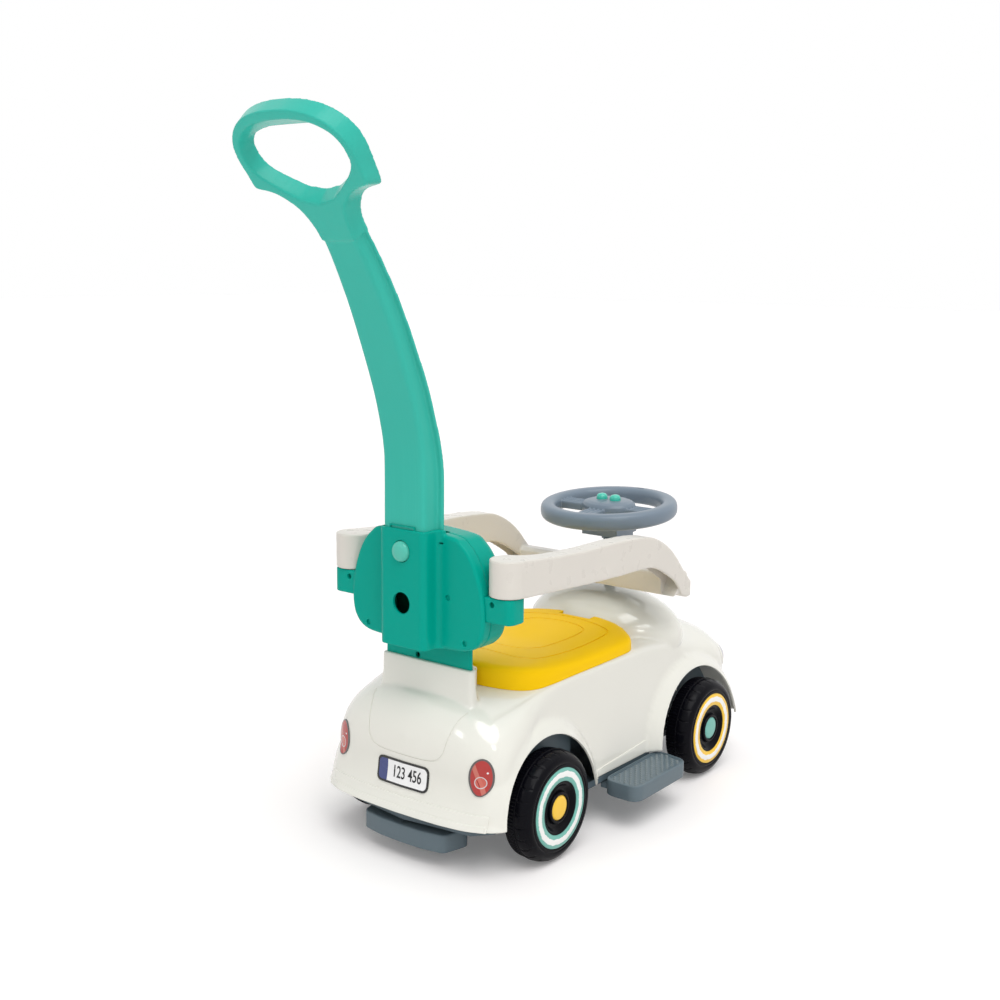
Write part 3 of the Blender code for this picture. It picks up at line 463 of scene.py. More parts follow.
def metal(name, colour, polish, unevenness, stretch):
    """Bare or plated metal; stretch draws its uneven polish out along the axes."""
    material, tree, shader = new_material(name)
    drawn = wired(tree, "ShaderNodeMapping", i0=own_place(tree))
    drawn.inputs["Scale"].default_value = stretch
    streaks = calc(tree, "MULTIPLY", noise(tree, drawn.outputs[0], 1.0), unevenness)
    tree.links.new(calc(tree, "ADD", streaks, polish), shader.inputs["Roughness"])
    shader.inputs["Base Color"].default_value = (*colour, 1)
    shader.inputs["Metallic"].default_value = 1.0
    return material


def dress(material, *names):
    """The part's own solids in the scene's material."""
    for name in names:
        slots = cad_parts[name].data.materials
        slots.clear()
        slots.append(material)


def show(name, bm, material, body, slot, *stands_for, crease=50, spot=None):
    """The finished piece at its place over the floor; spot is its own origin."""
    origin = Vector(spot or (0, MID_Y, -BASE_Z))
    bmesh.ops.translate(bm, verts=bm.verts, vec=-origin)
    mesh = bpy.data.meshes.new(name)
    bm.to_mesh(mesh)
    bm.free()
    mesh.materials.clear()
    mesh.materials.append(material)
    for face in mesh.polygons:
        face.material_index = 0
    mesh.shade_smooth()
    mesh.set_sharp_from_angle(angle=radians(crease))
    obj = bpy.data.objects.new(name, mesh)
    obj.location = origin - Vector((0, MID_Y, -BASE_Z))
    bpy.context.scene.collection.objects.link(obj)
    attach(obj, body)
    if stands_for:
        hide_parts(*stands_for)
    return obj


def fender_reach(y, z):
    """How far out a fender comes: it leans in, fades beyond its arch and near the rear."""
    reach = 0.0
    for centre_y, centre_z, radius in ARCHES:
        beyond = max(hypot(y - centre_y, z - centre_z) - radius, 0.0) / FENDER_WIDTH
        here = FENDER_X - FENDER_LEAN * (z - BODY_BOTTOM) - FENDER_DROP * beyond**1.4
        reach = max(reach, here - REAR_TAPER * max(y - REAR_TAPER_Y, 0.0))
    return reach


def body_point(x, y, z):
    """The hull's point, drawn out sideways where a fender stands proud of it."""
    side = min(max((x - FENDER_ROOT) / FENDER_BLEND, 0.0), 1.0)
    side = side * side * (3 - 2 * side)
    out = fender_reach(y, z) - x
    lift = (out + hypot(out, FENDER_SOFT)) / 2 - FENDER_SOFT / 2
    return x + max(lift, 0.0) * side, y, z


def hull(offset=0.0):
    """The body's closed outer form, moved out by offset."""
    half = []
    for row in smooth_path(BODY_ROWS, 12):
        crown_y, crown_z, sx, sy, sz, bx, by, square = row
        line = []
        for k in range(CROWN_STEPS + 1):
            angle = pi / 2 * k / CROWN_STEPS
            out = sin(angle) ** (2 / square)
            up = cos(angle) ** (2 / square) if k < CROWN_STEPS else 0.0
            line.append((sx * out, crown_y + (sy - crown_y) * out, sz + (crown_z - sz) * up))
        for k in range(1, SIDE_STEPS + 1):
            t = k / SIDE_STEPS
            line.append((sx + (bx - sx) * t * t, sy + (by - sy) * t * t, sz + (BODY_BOTTOM - sz) * t))
        half.append([body_point(*p) for p in line])
    loop = half + [[(-x, y, z) for x, y, z in line] for line in reversed(half[1:-1])]
    bm = bmesh.new()
    rows = [[bm.verts.new(p) for p in line] for line in loop]
    for i, near in enumerate(rows):
        far = rows[(i + 1) % len(rows)]
        for k in range(len(near) - 1):
            bm.faces.new((near[k], near[k + 1], far[k + 1], far[k]))
    rim = [row[-1] for row in rows]
    bmesh.ops.remove_doubles(bm, verts=bm.verts, dist=1e-5)
    bmesh.ops.recalc_face_normals(bm, faces=bm.faces)
    if max(bm.faces, key=lambda f: f.calc_center_median().z).normal.z < 0:
        bmesh.ops.reverse_faces(bm, faces=bm.faces)
    bm.normal_update()
    shifts = [(v, v.normal.copy()) for v in bm.verts]
    for vert, normal in shifts:
        vert.co += normal * offset
    for vert in rim:
        vert.co.z = BODY_BOTTOM
    bm.faces.new(rim)
    return bm


def dome(offset):
    bm = ball((0, 0, 0), (1, 1, 1), 96)
    for vert in bm.verts:
        ahead = 0.82 if vert.co.y < 0 else 1.0
        vert.co.x *= DOME_SIZE[0] + offset
        vert.co.y *= (DOME_SIZE[1] + offset) * ahead
        vert.co.z *= DOME_SIZE[2] + offset
    bmesh.ops.translate(bm, verts=bm.verts, vec=(0, STEER_Y, 0.180))
    return bm


def pillar_outline(grow, radius=0.0075):
    """The rear pillar's plan: flat at the rear, its sides drawn in towards the seat."""
    near, rear = PILLAR_Y
    corners = [
        (-PILLAR_X + 0.018, near),
        (PILLAR_X - 0.018, near),
        (PILLAR_X, rear - 0.0095),
        (PILLAR_X, rear),
        (-PILLAR_X, rear),
        (-PILLAR_X, rear - 0.0095),
    ]
    return rounded(inset(corners, -grow), radius, 10)


column_axis = Vector((0, sin(COLUMN_TILT), cos(COLUMN_TILT)))
column_foot = Vector((0, STEER_Y - (STEER_Z - AXLE_Z) * tan(COLUMN_TILT), AXLE_Z))


def on_column(height):
    return column_foot + column_axis * ((height - AXLE_Z) / column_axis.z)


def column_rod(low, high, radius):
    return rod(on_column(low), on_column(high), radius)


BODY_WHITE = plastic("body_white", (0.775, 0.768, 0.702), 0.17, 0.0, 0.015, coat=0.6, gloss=0.4)
PILLAR_RINGS = ((0.0080, 0.150), (0.0045, 0.166), (0.0018, 0.180), (0.0005, 0.192), (0.0, PILLAR_TOP))
pillar = skin([[(*p, z) for p in pillar_outline(grow)] for grow, z in PILLAR_RINGS])
form = melted(heap(hull(), dome(0), pillar, column_rod(0.205, 0.2385, 0.021)), 0.0017, 8)
TRUNK_LINE = [
    (0.000, 0.1120),
    (0.040, 0.1135),
    (0.0555, 0.1230),
    (0.060, 0.1400),
    (0.068, 0.1650),
    (0.090, 0.1900),
]
trunk = smooth_path(TRUNK_LINE, 8)
band = [(p.x, p.y) for p in trunk] + [(p.x - 0.0014, p.y + 0.0009) for p in reversed(trunk[1:])]
band.append((0, 0.1133))
for side in (1, -1):
    groove = prism([(side * x, z) for x, z in band], 1, 0.224, 0.290)
    form = cut(form, cut(groove, hull(-0.0007)))
bites = [box((-0.3, -0.5, -0.1), (0.3, 0.5, BODY_BOTTOM + 0.0003))]
for centre_y, centre_z, radius in ARCHES:
    bites.append(pin((-0.2, 0.2), centre_y, centre_z, radius, 128))
SEAT_WELL = rounded([(-0.086, -0.062), (0.086, -0.062), (0.086, 0.126), (-0.086, 0.126)], 0.02)
bites.append(prism(SEAT_WELL, 2, 0.160, 0.195))
bites.append(prism(pillar_outline(FIT_GAP - NECK_INSET, 0.004), 2, 0.150, 0.230))
bites.append(column_rod(0.16, 0.25, 0.0083))
form = thickened(opened(form, *bites), SHELL_WALL)
HINGE_Y, HINGE_Z = 0.1838, 0.2050
for side in (1, -1):
    ends = span(side, 0.0405, 0.0465)
    ear = pin(ends, HINGE_Y, HINGE_Z, 0.0042, 48)
    stem = box((ends[0], HINGE_Y - 0.0038, 0.1840), (ends[1], HINGE_Y + 0.0038, HINGE_Z))
    bore = pin((ends[0] - 0.01, ends[1] + 0.01), HINGE_Y, HINGE_Z, 0.0023, 32)
    form = carved(form, ("UNION", stem), ("UNION", ear), ("DIFFERENCE", bore))
show("body_moulding", form, BODY_WHITE, "car", "body_white", "body_shell")

raised = hull(0.0013)
bumper = box((-0.119, 0.215, BODY_BOTTOM + 0.001), (0.119, 0.300, 0.0665))
bumper = shared(raised.copy(), bumper, hull(-0.0012))
show("bumper_strip", eased(bumper, 0.0005), BODY_WHITE, "car", "body_white")
bumper_step = box((-0.117, 0.215, BODY_BOTTOM + 0.0014), (0.117, 0.300, 0.0560))
bumper_step = shared(hull(0.0021), bumper_step, hull())
show("bumper_step", eased(bumper_step, 0.0004), BODY_WHITE, "car", "body_white")
ROCKER = [(-0.078, 0.0495), (0.045, 0.0495), (0.045, 0.0570), (-0.078, 0.0650)]
for side, name in ((1, "rocker_strip_left"), (-1, "rocker_strip_right")):
    strip = prism(rounded(ROCKER, 0.004), 0, *span(side, 0.10, 0.17))
    strip = shared(raised.copy(), strip, hull(-0.0012))
    show(name, eased(strip, 0.0005), BODY_WHITE, "car", "body_white")

# The lamp labels, the rear plate and the headlight domes: printed films on the rear
# corners and the deck, and two bright plated domes with trim rings on the front fenders.
LAMP_RED = (0.42, 0.030, 0.026)
PLATE_HALF = (0.0385, 0.01475)
PLATE_CORNER = 0.008
PLATE_Z = 0.09025


def local_place(tree):
    """The object's own x, y and z as three outputs."""
    return wired(tree, "ShaderNodeSeparateXYZ", i0=own_place(tree)).outputs


def within(tree, value, edge, soft):
    """1 where value is under edge, 0 over it, with a soft border."""
    return calc(tree, "DIVIDE", calc(tree, "SUBTRACT", edge, value), soft, clamp=True)


def stripe(tree, value, centre, half, soft):
    """1 where value is within half of centre, with soft borders."""
    off = calc(tree, "ABSOLUTE", calc(tree, "SUBTRACT", value, centre))
    return within(tree, off, half, soft)


def distance(tree, a, b, centre_a, centre_b, size_a=1.0, size_b=1.0):
    da = calc(tree, "DIVIDE", calc(tree, "SUBTRACT", a, centre_a), size_a)
    db = calc(tree, "DIVIDE", calc(tree, "SUBTRACT", b, centre_b), size_b)
    return length(tree, da, db)


def lamp_print(tree, shown):
    """A dark rim, a slanting gleam, and a ringed disc with a bar across it and a dot."""
    x, _, z = local_place(tree)
    u = calc(tree, "MULTIPLY", x, -1)
    slant = calc(tree, "ADD", u, calc(tree, "MULTIPLY", z, 0.45))
    gleam = stripe(tree, slant, -0.0030, 0.0028, 0.0004)
    shown = blended(tree, calc(tree, "MULTIPLY", gleam, 0.42), shown, (0.72, 0.32, 0.24, 1))
    disc = distance(tree, u, z, 0.0, -0.0052)
    inner = within(tree, disc, 0.0056, 0.0003)
    shown = blended(tree, calc(tree, "MULTIPLY", inner, 0.75), shown, (0.62, 0.14, 0.10, 1))
    bar = calc(tree, "MULTIPLY", stripe(tree, slant, -0.0052, 0.0007, 0.0002), inner)
    shown = blended(tree, bar, shown, (0.30, 0.012, 0.012, 1))
    ring = stripe(tree, disc, 0.0062, 0.0006, 0.0002)
    shown = blended(tree, ring, shown, (0.62, 0.58, 0.58, 1))
    dot = within(tree, distance(tree, u, z, 0.0066, 0.0062), 0.0012, 0.0003)
    shown = blended(tree, dot, shown, (0.85, 0.82, 0.82, 1))
    rim = distance(tree, u, z, 0.0, 0.0, 0.0117, 0.0200)
    outside = calc(tree, "SUBTRACT", 1.0, within(tree, rim, 0.99, 0.05))
    return blended(tree, outside, shown, (0.10, 0.09, 0.09, 1))


lamp_plate = hull(0.0012)
for side, name in ((1, "left_tail_lamp"), (-1, "right_tail_lamp")):
    lamp = ball((side * 0.1044, 0.2420, 0.1070), (0.0135, 0.0300, 0.0210), 96)
    lamp = shared(lamp_plate.copy(), lamp, hull())
    label = plastic(name + "_print", LAMP_RED, 0.12, 0.0, 0.02, coat=0.5, paint=lamp_print)
    bmesh.ops.triangulate(lamp, faces=[f for f in lamp.faces if len(f.verts) > 4])
    show(name + "_label", lamp, label, "car", "tail_red", name, spot=(side * 0.1050, 0.2390, 0.1070))

CHROME = metal("headlight_silver", (0.62, 0.62, 0.66), 0.08, 0.08, (220, 220, 220))
for side, name in ((1, "left_headlight"), (-1, "right_headlight")):
    centre = (side * 0.0890, -0.2885, 0.1225)
    lens = cut(ball(centre, (0.0215, 0.0215, 0.0215), 64), hull(0.0002))
    show(name + "_dome", lens, CHROME, "car", "headlight_silver", name)
    trim = shared(ball(centre, (0.0228, 0.0228, 0.0228), 64), hull(0.0016), hull())
    show(name + "_trim", trim, BODY_WHITE, "car", "body_white")


def plate_print(tree, shown):
    """A pale field with a dark round-cornered edge and a blue band at one end."""
    x, _, z = local_place(tree)
    beyond = []
    for value, half in zip((x, z), PLATE_HALF):
        over = calc(tree, "SUBTRACT", calc(tree, "ABSOLUTE", value), half - PLATE_CORNER)
        beyond.append(calc(tree, "MAXIMUM", over, 0.0))
    blue = within(tree, 0.0225, x, 0.0003)
    shown = blended(tree, blue, shown, (0.045, 0.062, 0.20, 1))
    field = within(tree, length(tree, *beyond), 0.0057, 0.0003)
    return blended(tree, field, (0.012, 0.012, 0.012, 1), shown)


plate_corners = [(-0.0385, 0.0755), (0.0385, 0.0755), (0.0385, 0.1050), (-0.0385, 0.1050)]
plate = prism(rounded(plate_corners, PLATE_CORNER), 1, 0.235, 0.290)
plate = shared(lamp_plate.copy(), plate, hull())
plate_film = plastic("plate_film", (0.86, 0.86, 0.86), 0.2, 0.0, 0.01, coat=0.4, paint=plate_print)
show("rear_plate_film", plate, plate_film, "car", "plate_white", "number_plate", spot=(0, 0.262, PLATE_Z))

digits = bpy.data.curves.new("plate_digits", "FONT")
digits.body = "123 456"
digits.size = 0.0185
digits.offset = 0.00012
digits.extrude = 0.0003
digits.align_x = "CENTER"
digits.align_y = "CENTER"
digits_work = bpy.data.objects.new("digits_work", digits)
bpy.context.scene.collection.objects.link(digits_work)
surface = BVHTree.FromBMesh(hull(0.0012))
figures = off_bench(digits_work)
for vert in figures.verts:
    x, y, depth = vert.co
    spot = Vector((-x * 0.72 - 0.0068, 0.4, y * 1.05 + PLATE_Z))
    hit = surface.ray_cast(spot, Vector((0, -1, 0)))[0]
    vert.co = (spot.x, hit.y + depth, spot.z)
bmesh.ops.recalc_face_normals(figures, faces=figures.faces)
INK = plastic("plate_ink", (0.015, 0.015, 0.017), 0.35, 0.0, 0.02)
show("rear_plate_digits", figures, INK, "car", "plate_white")

# The front arch liners: two curved sheets of the body's white moulding over the rear of
# the front wheels, formed in one with the arches and clear of the tyres at full lock.
LINER_R = (0.1050, 0.1066)
LINER_NEAR = 0.086
for side, name in ((1, "front_arch_liner_left"), (-1, "front_arch_liner_right")):
    centre_y, centre_z = ARCHES[1][:2]
    sheet = []
    for k in range(41):
        angle = radians(95 + 77 * k / 40)
        near, far = [(centre_y + r * cos(angle), centre_z + r * sin(angle)) for r in LINER_R]
        edge = fender_reach(*far) - 0.0034
        corners = ((LINER_NEAR, near), (edge, near), (edge, far), (LINER_NEAR, far))
        sheet.append([(side * x, *spot) for x, spot in corners])
    liner = skin(sheet)
    bmesh.ops.recalc_face_normals(liner, faces=liner.faces)
    show(name, liner, BODY_WHITE, "car", "body_white", crease=30)

# The chassis: a blue-grey moulded floor tray with wheel-well walls, the two footrests
# on its sides, the rear anti-tip skid and the storage bin under the seat.
CHASSIS_GREY = plastic("chassis_grey", (0.105, 0.145, 0.170), 0.42, 0.05, 0.05)
FOOTREST_GREY = plastic("footrest_grey", (0.118, 0.160, 0.185), 0.38, 0.05, 0.05)
TREAD_GREY = plastic("tread_grey", (0.215, 0.255, 0.270), 0.34, 0.05, 0.06)
dress(CHASSIS_GREY, "chassis_tray", "storage_bin")

STEP_HALF = [(0.1225, -0.0985), (0.1740, -0.0885), (0.1755, 0.0320), (0.1250, 0.0300)]
STEP_Z = (0.0265, 0.0465)
STUD_PITCH = (0.0076, 0.0061)
STUD_ROOT = (0.0027, 0.0017, STEP_Z[1] - 0.0019)
STUD_TIP = (0.0014, 0.0008, STEP_Z[1] - 0.0001)
STUD_CORNERS = ((-1, -0.3), (0.3, -1), (1, 0.3), (-0.3, 1))
for side, name in ((1, "left_footrest"), (-1, "right_footrest")):
    plan = [(side * x, y) for x, y in STEP_HALF]
    plan = rounded(plan if side > 0 else list(reversed(plan)), 0.017, 12)
    ledge = eased(prism(plan, 2, *STEP_Z), 0.0013, 3)
    ledge = cut(
        ledge,
        prism(inset(plan, 0.0032), 2, STEP_Z[1] - 0.0008, 0.070),
        prism(inset(plan, 0.0046), 2, STEP_Z[1] - 0.0017, 0.070),
        prism(inset(plan, 0.0028), 2, 0.020, STEP_Z[1] - 0.0046),
    )
    arm_x = span(side, 0.1153, 0.1280)
    ledge = joined(ledge, box((arm_x[0], -0.0700, 0.0300), (arm_x[1], 0.0200, 0.0370)))
    show(name + "_ledge", ledge, FOOTREST_GREY, "car", "chassis_grey", name)
    field = inset(plan, 0.0062)
    studs = []
    for i in range(-8, 9):
        for j in range(-11, 12):
            x = side * 0.1480 + (i + 0.5 * (j % 2)) * STUD_PITCH[0]
            spot = Vector((x, -0.033 + j * STUD_PITCH[1]))
            edges = zip(field, field[1:] + field[:1])
            if min((b - a).cross(spot - a) for a, b in edges) < 0:
                continue
            rings = []
            for wide, deep, z in (STUD_ROOT, STUD_TIP):
                rings.append([(spot.x + wide * u, spot.y + deep * v, z) for u, v in STUD_CORNERS])
            studs.append(skin(rings))
    show(name + "_tread", heap(*studs), TREAD_GREY, "car", "chassis_grey", crease=10)

STOPPER_HALF = [
    (0.000, 0.1700), (0.050, 0.1700), (0.0700, 0.2200), (0.0610, 0.2560), (0.030, 0.2615),
    (0.000, 0.2625),
]
stopper_plan = rounded(both_halves(STOPPER_HALF)[1:-1], 0.011, 8)
skid = eased(prism(stopper_plan, 2, 0.009, 0.031), 0.0020, 4, 50)
skid = cut(skid, prism(inset(stopper_plan, 0.003), 2, 0.0, 0.028))
for low, high in (
    ((-0.044, 0.2340, 0.0302), (0.044, 0.2385, 0.04)),
    ((-0.040, 0.2150, 0.0304), (-0.034, 0.2340, 0.04)),
    ((0.034, 0.2150, 0.0304), (0.040, 0.2340, 0.04)),
    ((-0.002, 0.2400, 0.0304), (0.002, 0.2550, 0.04)),
):
    skid = cut(skid, box(low, high))
skid = joined(skid, box((-0.045, 0.172, 0.020), (0.045, 0.180, 0.0347)))
show("skid_plate", skid, FOOTREST_GREY, "car", "chassis_grey", "rear_stopper")

# The running gear: plain steel axles and hollow black wheels, each blow moulded in one
# with a finely ribbed inner tread, a blocky shoulder, a printed ring and a snap-in cap.
STEEL = metal("drawn_steel", (0.55, 0.55, 0.56), 0.18, 0.25, (40, 900, 900))
SCREWS = ["backrest_screw_" + end for end in ("left_low", "right_low", "left_high", "right_high")]
dress(STEEL, "rear_axle", "front_axle", *SCREWS)
dress(CHASSIS_GREY, "axle_yoke", "steering_column")

WHEEL_X = 0.148
REAR_AXLE_Y = 0.1513
FRONT_AXLE_Y = -0.1977
RING_R = (0.0315, 0.047)
CAP_R = 0.0145
TYRE_BLACK = plastic("tyre_black", (0.003, 0.003, 0.005), 0.24, 0.0, 0.10, gloss=0.08)
TEAL_PRINT = (0.165, 0.470, 0.400)
YELLOW_PRINT = (0.930, 0.580, 0.045)
TREAD = [
    (0.0560, -0.0350), (0.0600, -0.0347), (0.0630, -0.0335), (0.0636, -0.0325), (0.0640, -0.0300),
    (0.0642, -0.0270), (0.0643, -0.0240), (0.0643, -0.0215), (0.0643, -0.0206), (0.0636, -0.0203),
    (0.0636, -0.0198), (0.0650, -0.0195), (0.0652, -0.0190), (0.0650, -0.0184), (0.0645, -0.0182),
    (0.0646, -0.0178), (0.0648, -0.0168), (0.0648, -0.0156), (0.0647, -0.0142), (0.0645, -0.0128),
    (0.0642, -0.0114), (0.0638, -0.0100), (0.0633, -0.0086), (0.0627, -0.0072), (0.0619, -0.0058),
    (0.0609, -0.0044), (0.0597, -0.0031), (0.0583, -0.0020), (0.0568, -0.0011), (0.0551, -0.0006),
    (0.0535, -0.0004), (0.0522, -0.0006), (0.0516, -0.0010), (0.0510, -0.0006), (0.0500, -0.0003),
    (0.0482, -0.0003), (0.0474, -0.0006), (0.0471, -0.0013),
]
HUB = [
    (0.0313, -0.0014), (0.0310, -0.0006), (0.0303, -0.0004), (0.0290, -0.0008), (0.0280, -0.0016),
    (0.0262, -0.0035), (0.0245, -0.0052), (0.0230, -0.0060), (0.0208, -0.0063), (0.0196, -0.0059),
    (0.0190, -0.0048), (0.0187, -0.0030), (0.0183, -0.0016), (0.0175, -0.0010), (0.0164, -0.0009),
    (0.0154, -0.0012), (0.0149, -0.0022), (0.0148, -0.0052), (0.00406, -0.0052),
]
BACK = [(0.00406, -0.0335), (0.0110, -0.0335), (0.0110, -0.0100), (0.0460, -0.0060)]
ROUND = 576
TREAD_RIBS = 96
SHOULDER_BLOCKS = 26
TREAD_FROM_R = 0.0555
RING_PROFILE = [
    (RING_R[0], -0.0012), (RING_R[1], -0.0012), (RING_R[1], -0.0005), (RING_R[1] - 0.0003, -0.0002),
    (RING_R[0] + 0.0003, -0.0002), (RING_R[0], -0.0005),
]
CAP_PROFILE = [
    (0, -0.0009), (0.0060, -0.0009), (0.0110, -0.0011), (0.0130, -0.0014), (0.0140, -0.0019),
    (CAP_R, -0.0026), (CAP_R, -0.0049), (0, -0.0049),
]


def tread_cut(depth_x, angle):
    """How deep the inner tread's ribs or the shoulder's bowed grooves go at this place."""
    if -0.0330 < depth_x < -0.0204:
        swing = sin(angle * TREAD_RIBS)
        return 0.0009 * min(max(0.5 + 1.6 * swing, 0.0), 1.0)
    if -0.0180 < depth_x < -0.0045:
        bow = (depth_x + 0.0115) / 0.0070
        phase = (angle * SHOULDER_BLOCKS / (2 * pi) + 0.16 * bow * bow) % 1.0
        near = abs(phase - 0.5)
        return 0.0010 * max(0.0, 1 - (near / 0.065) ** 2)
    return 0.0


def wheel_form(side, hub):
    bm = bmesh.new()
    lean = Vector((side, 0, 0)).to_track_quat("Z", "Y").to_matrix()
    rows = []
    for radius, height in BACK + TREAD + HUB:
        row = []
        for k in range(ROUND):
            angle = 2 * pi * k / ROUND
            r = radius - (tread_cut(height, angle) if radius > TREAD_FROM_R else 0.0)
            spot = Vector((r * cos(angle), r * sin(angle), height))
            row.append(bm.verts.new(Vector(hub) + lean @ spot))
        rows.append(row)
    for i, near in enumerate(rows):
        far = rows[(i + 1) % len(rows)]
        for k in range(ROUND):
            bm.faces.new((near[k], near[(k + 1) % ROUND], far[(k + 1) % ROUND], far[k]))
    bmesh.ops.recalc_face_normals(bm, faces=bm.faces)
    return bm


def ring_print(tree, shown):
    """The ring's ragged white brush stroke over its printed colour."""
    _, y, z = local_place(tree)
    radius = distance(tree, y, z, 0.0, 0.0)
    around = calc(tree, "MULTIPLY", calc(tree, "ARCTAN2", z, y), 3.0)
    spread = wired(tree, "ShaderNodeCombineXYZ", i0=around, i1=0.0, i2=0.0).outputs[0]
    sway = calc(tree, "SUBTRACT", noise(tree, spread, 1.3, 7.0), 0.5)
    fray = calc(tree, "SUBTRACT", noise(tree, own_place(tree), 520.0, 3.0), 0.5)
    middle = calc(tree, "ADD", 0.0397, calc(tree, "MULTIPLY", sway, 0.0042))
    off = calc(tree, "ABSOLUTE", calc(tree, "SUBTRACT", radius, middle))
    off = calc(tree, "ADD", off, calc(tree, "MULTIPLY", fray, 0.0020))
    stroke = within(tree, off, 0.0034, 0.0003)
    return blended(tree, stroke, shown, (0.90, 0.90, 0.88, 1))


for side, side_name in ((1, "left"), (-1, "right")):
    for way, way_name in ((1, "rear"), (-1, "front")):
        label = way_name + "_" + side_name
        set_name = label + "_wheel_set"
        hub = (side * WHEEL_X, REAR_AXLE_Y if way > 0 else FRONT_AXLE_Y, AXLE_Z)
        show(label + "_tyre", wheel_form(side, hub), TYRE_BLACK, set_name, "tyre_black", label + "_wheel")
        ring_colour = TEAL_PRINT if way > 0 else YELLOW_PRINT
        cap_colour = YELLOW_PRINT if way > 0 else TEAL_PRINT
        ring_slot = "trim_teal" if way > 0 else "seat_yellow"
        cap_slot = "seat_yellow" if way > 0 else "trim_teal"
        film = plastic(label + "_ring_print", ring_colour, 0.3, 0.02, 0.03, coat=0.2, paint=ring_print)
        ring_form = turned(RING_PROFILE, hub, (side, 0, 0), 160)
        show(label + "_ring_film", ring_form, film, set_name, ring_slot, label + "_ring", spot=hub)
        cap_stuff = plastic(label + "_cap_plastic", cap_colour, 0.3, 0.05, 0.03, coat=0.2)
        cap_form = turned(CAP_PROFILE, hub, (side, 0, 0), 64)
        show(label + "_cap_button", cap_form, cap_stuff, set_name, cap_slot, label + "_cap")

# The steering: a grey moulded wheel with three ribbed spokes and an oval hub, two
# squeaker pads on it, and the sound box below on the column.
WHEEL_GREY = plastic("wheel_grey", (0.180, 0.230, 0.285), 0.34, 0.10, 0.05, coat=0.1)
PAD_TEAL = plastic("pad_teal", (0.060, 0.560, 0.430), 0.22, 0.0, 0.03, coat=0.4)
RIM_R = 0.0815
steer_centre = on_column(STEER_Z)
steer_turn = column_axis.to_track_quat("Z", "Y").to_matrix()
wheel_fit = Matrix.Translation(steer_centre) @ steer_turn.to_4x4()
RIM_SIDES = 40
rim_profile = []
for k in range(RIM_SIDES):
    turn = 2 * pi * k / RIM_SIDES
    out = abs(cos(turn)) ** 0.72 * (1 if cos(turn) > 0 else -1)
    up = abs(sin(turn)) ** 0.80 * (1 if sin(turn) > 0 else -1)
    rim_profile.append((RIM_R + 0.0105 * out, 0.0110 * up))
wheel_parts = [turned(rim_profile, steer_centre, column_axis, 160)]
for angle in (0, 180, 270):
    reach = Matrix.Rotation(radians(angle), 4, "Z")
    spoke = box((0.012, -0.0125, -0.0060), (RIM_R + 0.002, 0.0125, 0.0030))
    for rib_y in (-0.0105, -0.0035, 0.0035, 0.0105):
        box((0.030, rib_y - 0.0013, -0.0050), (RIM_R - 0.002, rib_y + 0.0013, 0.0046), spoke)
    wheel_parts.append(placed(spoke, wheel_fit @ reach))
HUB_PROFILE = [
    (0, -0.010), (0.0300, -0.010), (0.0306, 0.0020), (0.0300, 0.0060), (0.0275, 0.0092),
    (0.0220, 0.0112), (0.0120, 0.0119), (0, 0.0120),
]
hub_form = turned(HUB_PROFILE, (0, 0, 0), (0, 0, 1), 96)
for vert in hub_form.verts:
    vert.co.x *= 1.25
wheel_parts.append(placed(hub_form, wheel_fit))
steering = melted(heap(*wheel_parts), 0.0009, 4)
seam = placed(box((-0.0003, -0.06, 0.0020), (0.0003, 0.06, 0.020)), wheel_fit)
notch = placed(box((-0.0055, 0.0790, 0.0102), (0.0055, 0.0812, 0.0140)), wheel_fit)
inner_hub = rod(steer_centre - column_axis * 0.02, steer_centre + column_axis * 0.0112, 0.2, 64)
steering = cut(
    steering,
    cut(seam, inner_hub),
    notch,
    column_rod(0.300, 0.3342, COLUMN_BORE),
)
PAD_PROFILE = [
    (0, 0.0072), (0.0074, 0.0072), (0.0074, 0.0140), (0.0071, 0.0157), (0.0062, 0.0172),
    (0.0048, 0.0183), (0.0028, 0.0190), (0, 0.0192),
]
for side, name, body in ((1, "horn_pad_left", "horn_left"), (-1, "horn_pad_right", "horn_right")):
    centre = steer_centre + steer_turn @ Vector((side * 0.0105, 0, 0))
    pocket = rod(centre + column_axis * 0.0040, centre + column_axis * 0.020, 0.0078, 48)
    steering = cut(steering, pocket)
    pad = turned(PAD_PROFILE, centre, column_axis, 48)
    show(name + "_button", pad, PAD_TEAL, body, "handle_teal", name)
show("steering_wheel_moulding", steering, WHEEL_GREY, "steering", "wheel_grey", "steering_wheel")

sound_box = box((-0.028, -0.024, -0.0340), (0.028, 0.024, -0.0103))
sound_box = joined(
    sound_box,
    box((-0.019, 0.010, -0.0470), (0.019, 0.030, -0.0300)),
    box((-0.012, 0.0235, -0.0330), (0.000, 0.0275, -0.0110)),
    box((0.008, 0.0235, -0.0330), (0.022, 0.0275, -0.0150)),
)
sound_box = eased(placed(sound_box, wheel_fit), 0.0007, 2, 50)
sound_box = cut(sound_box, column_rod(0.280, 0.360, COLUMN_BORE))
show("sound_box", sound_box, WHEEL_GREY, "steering", "chassis_grey", "battery_box")

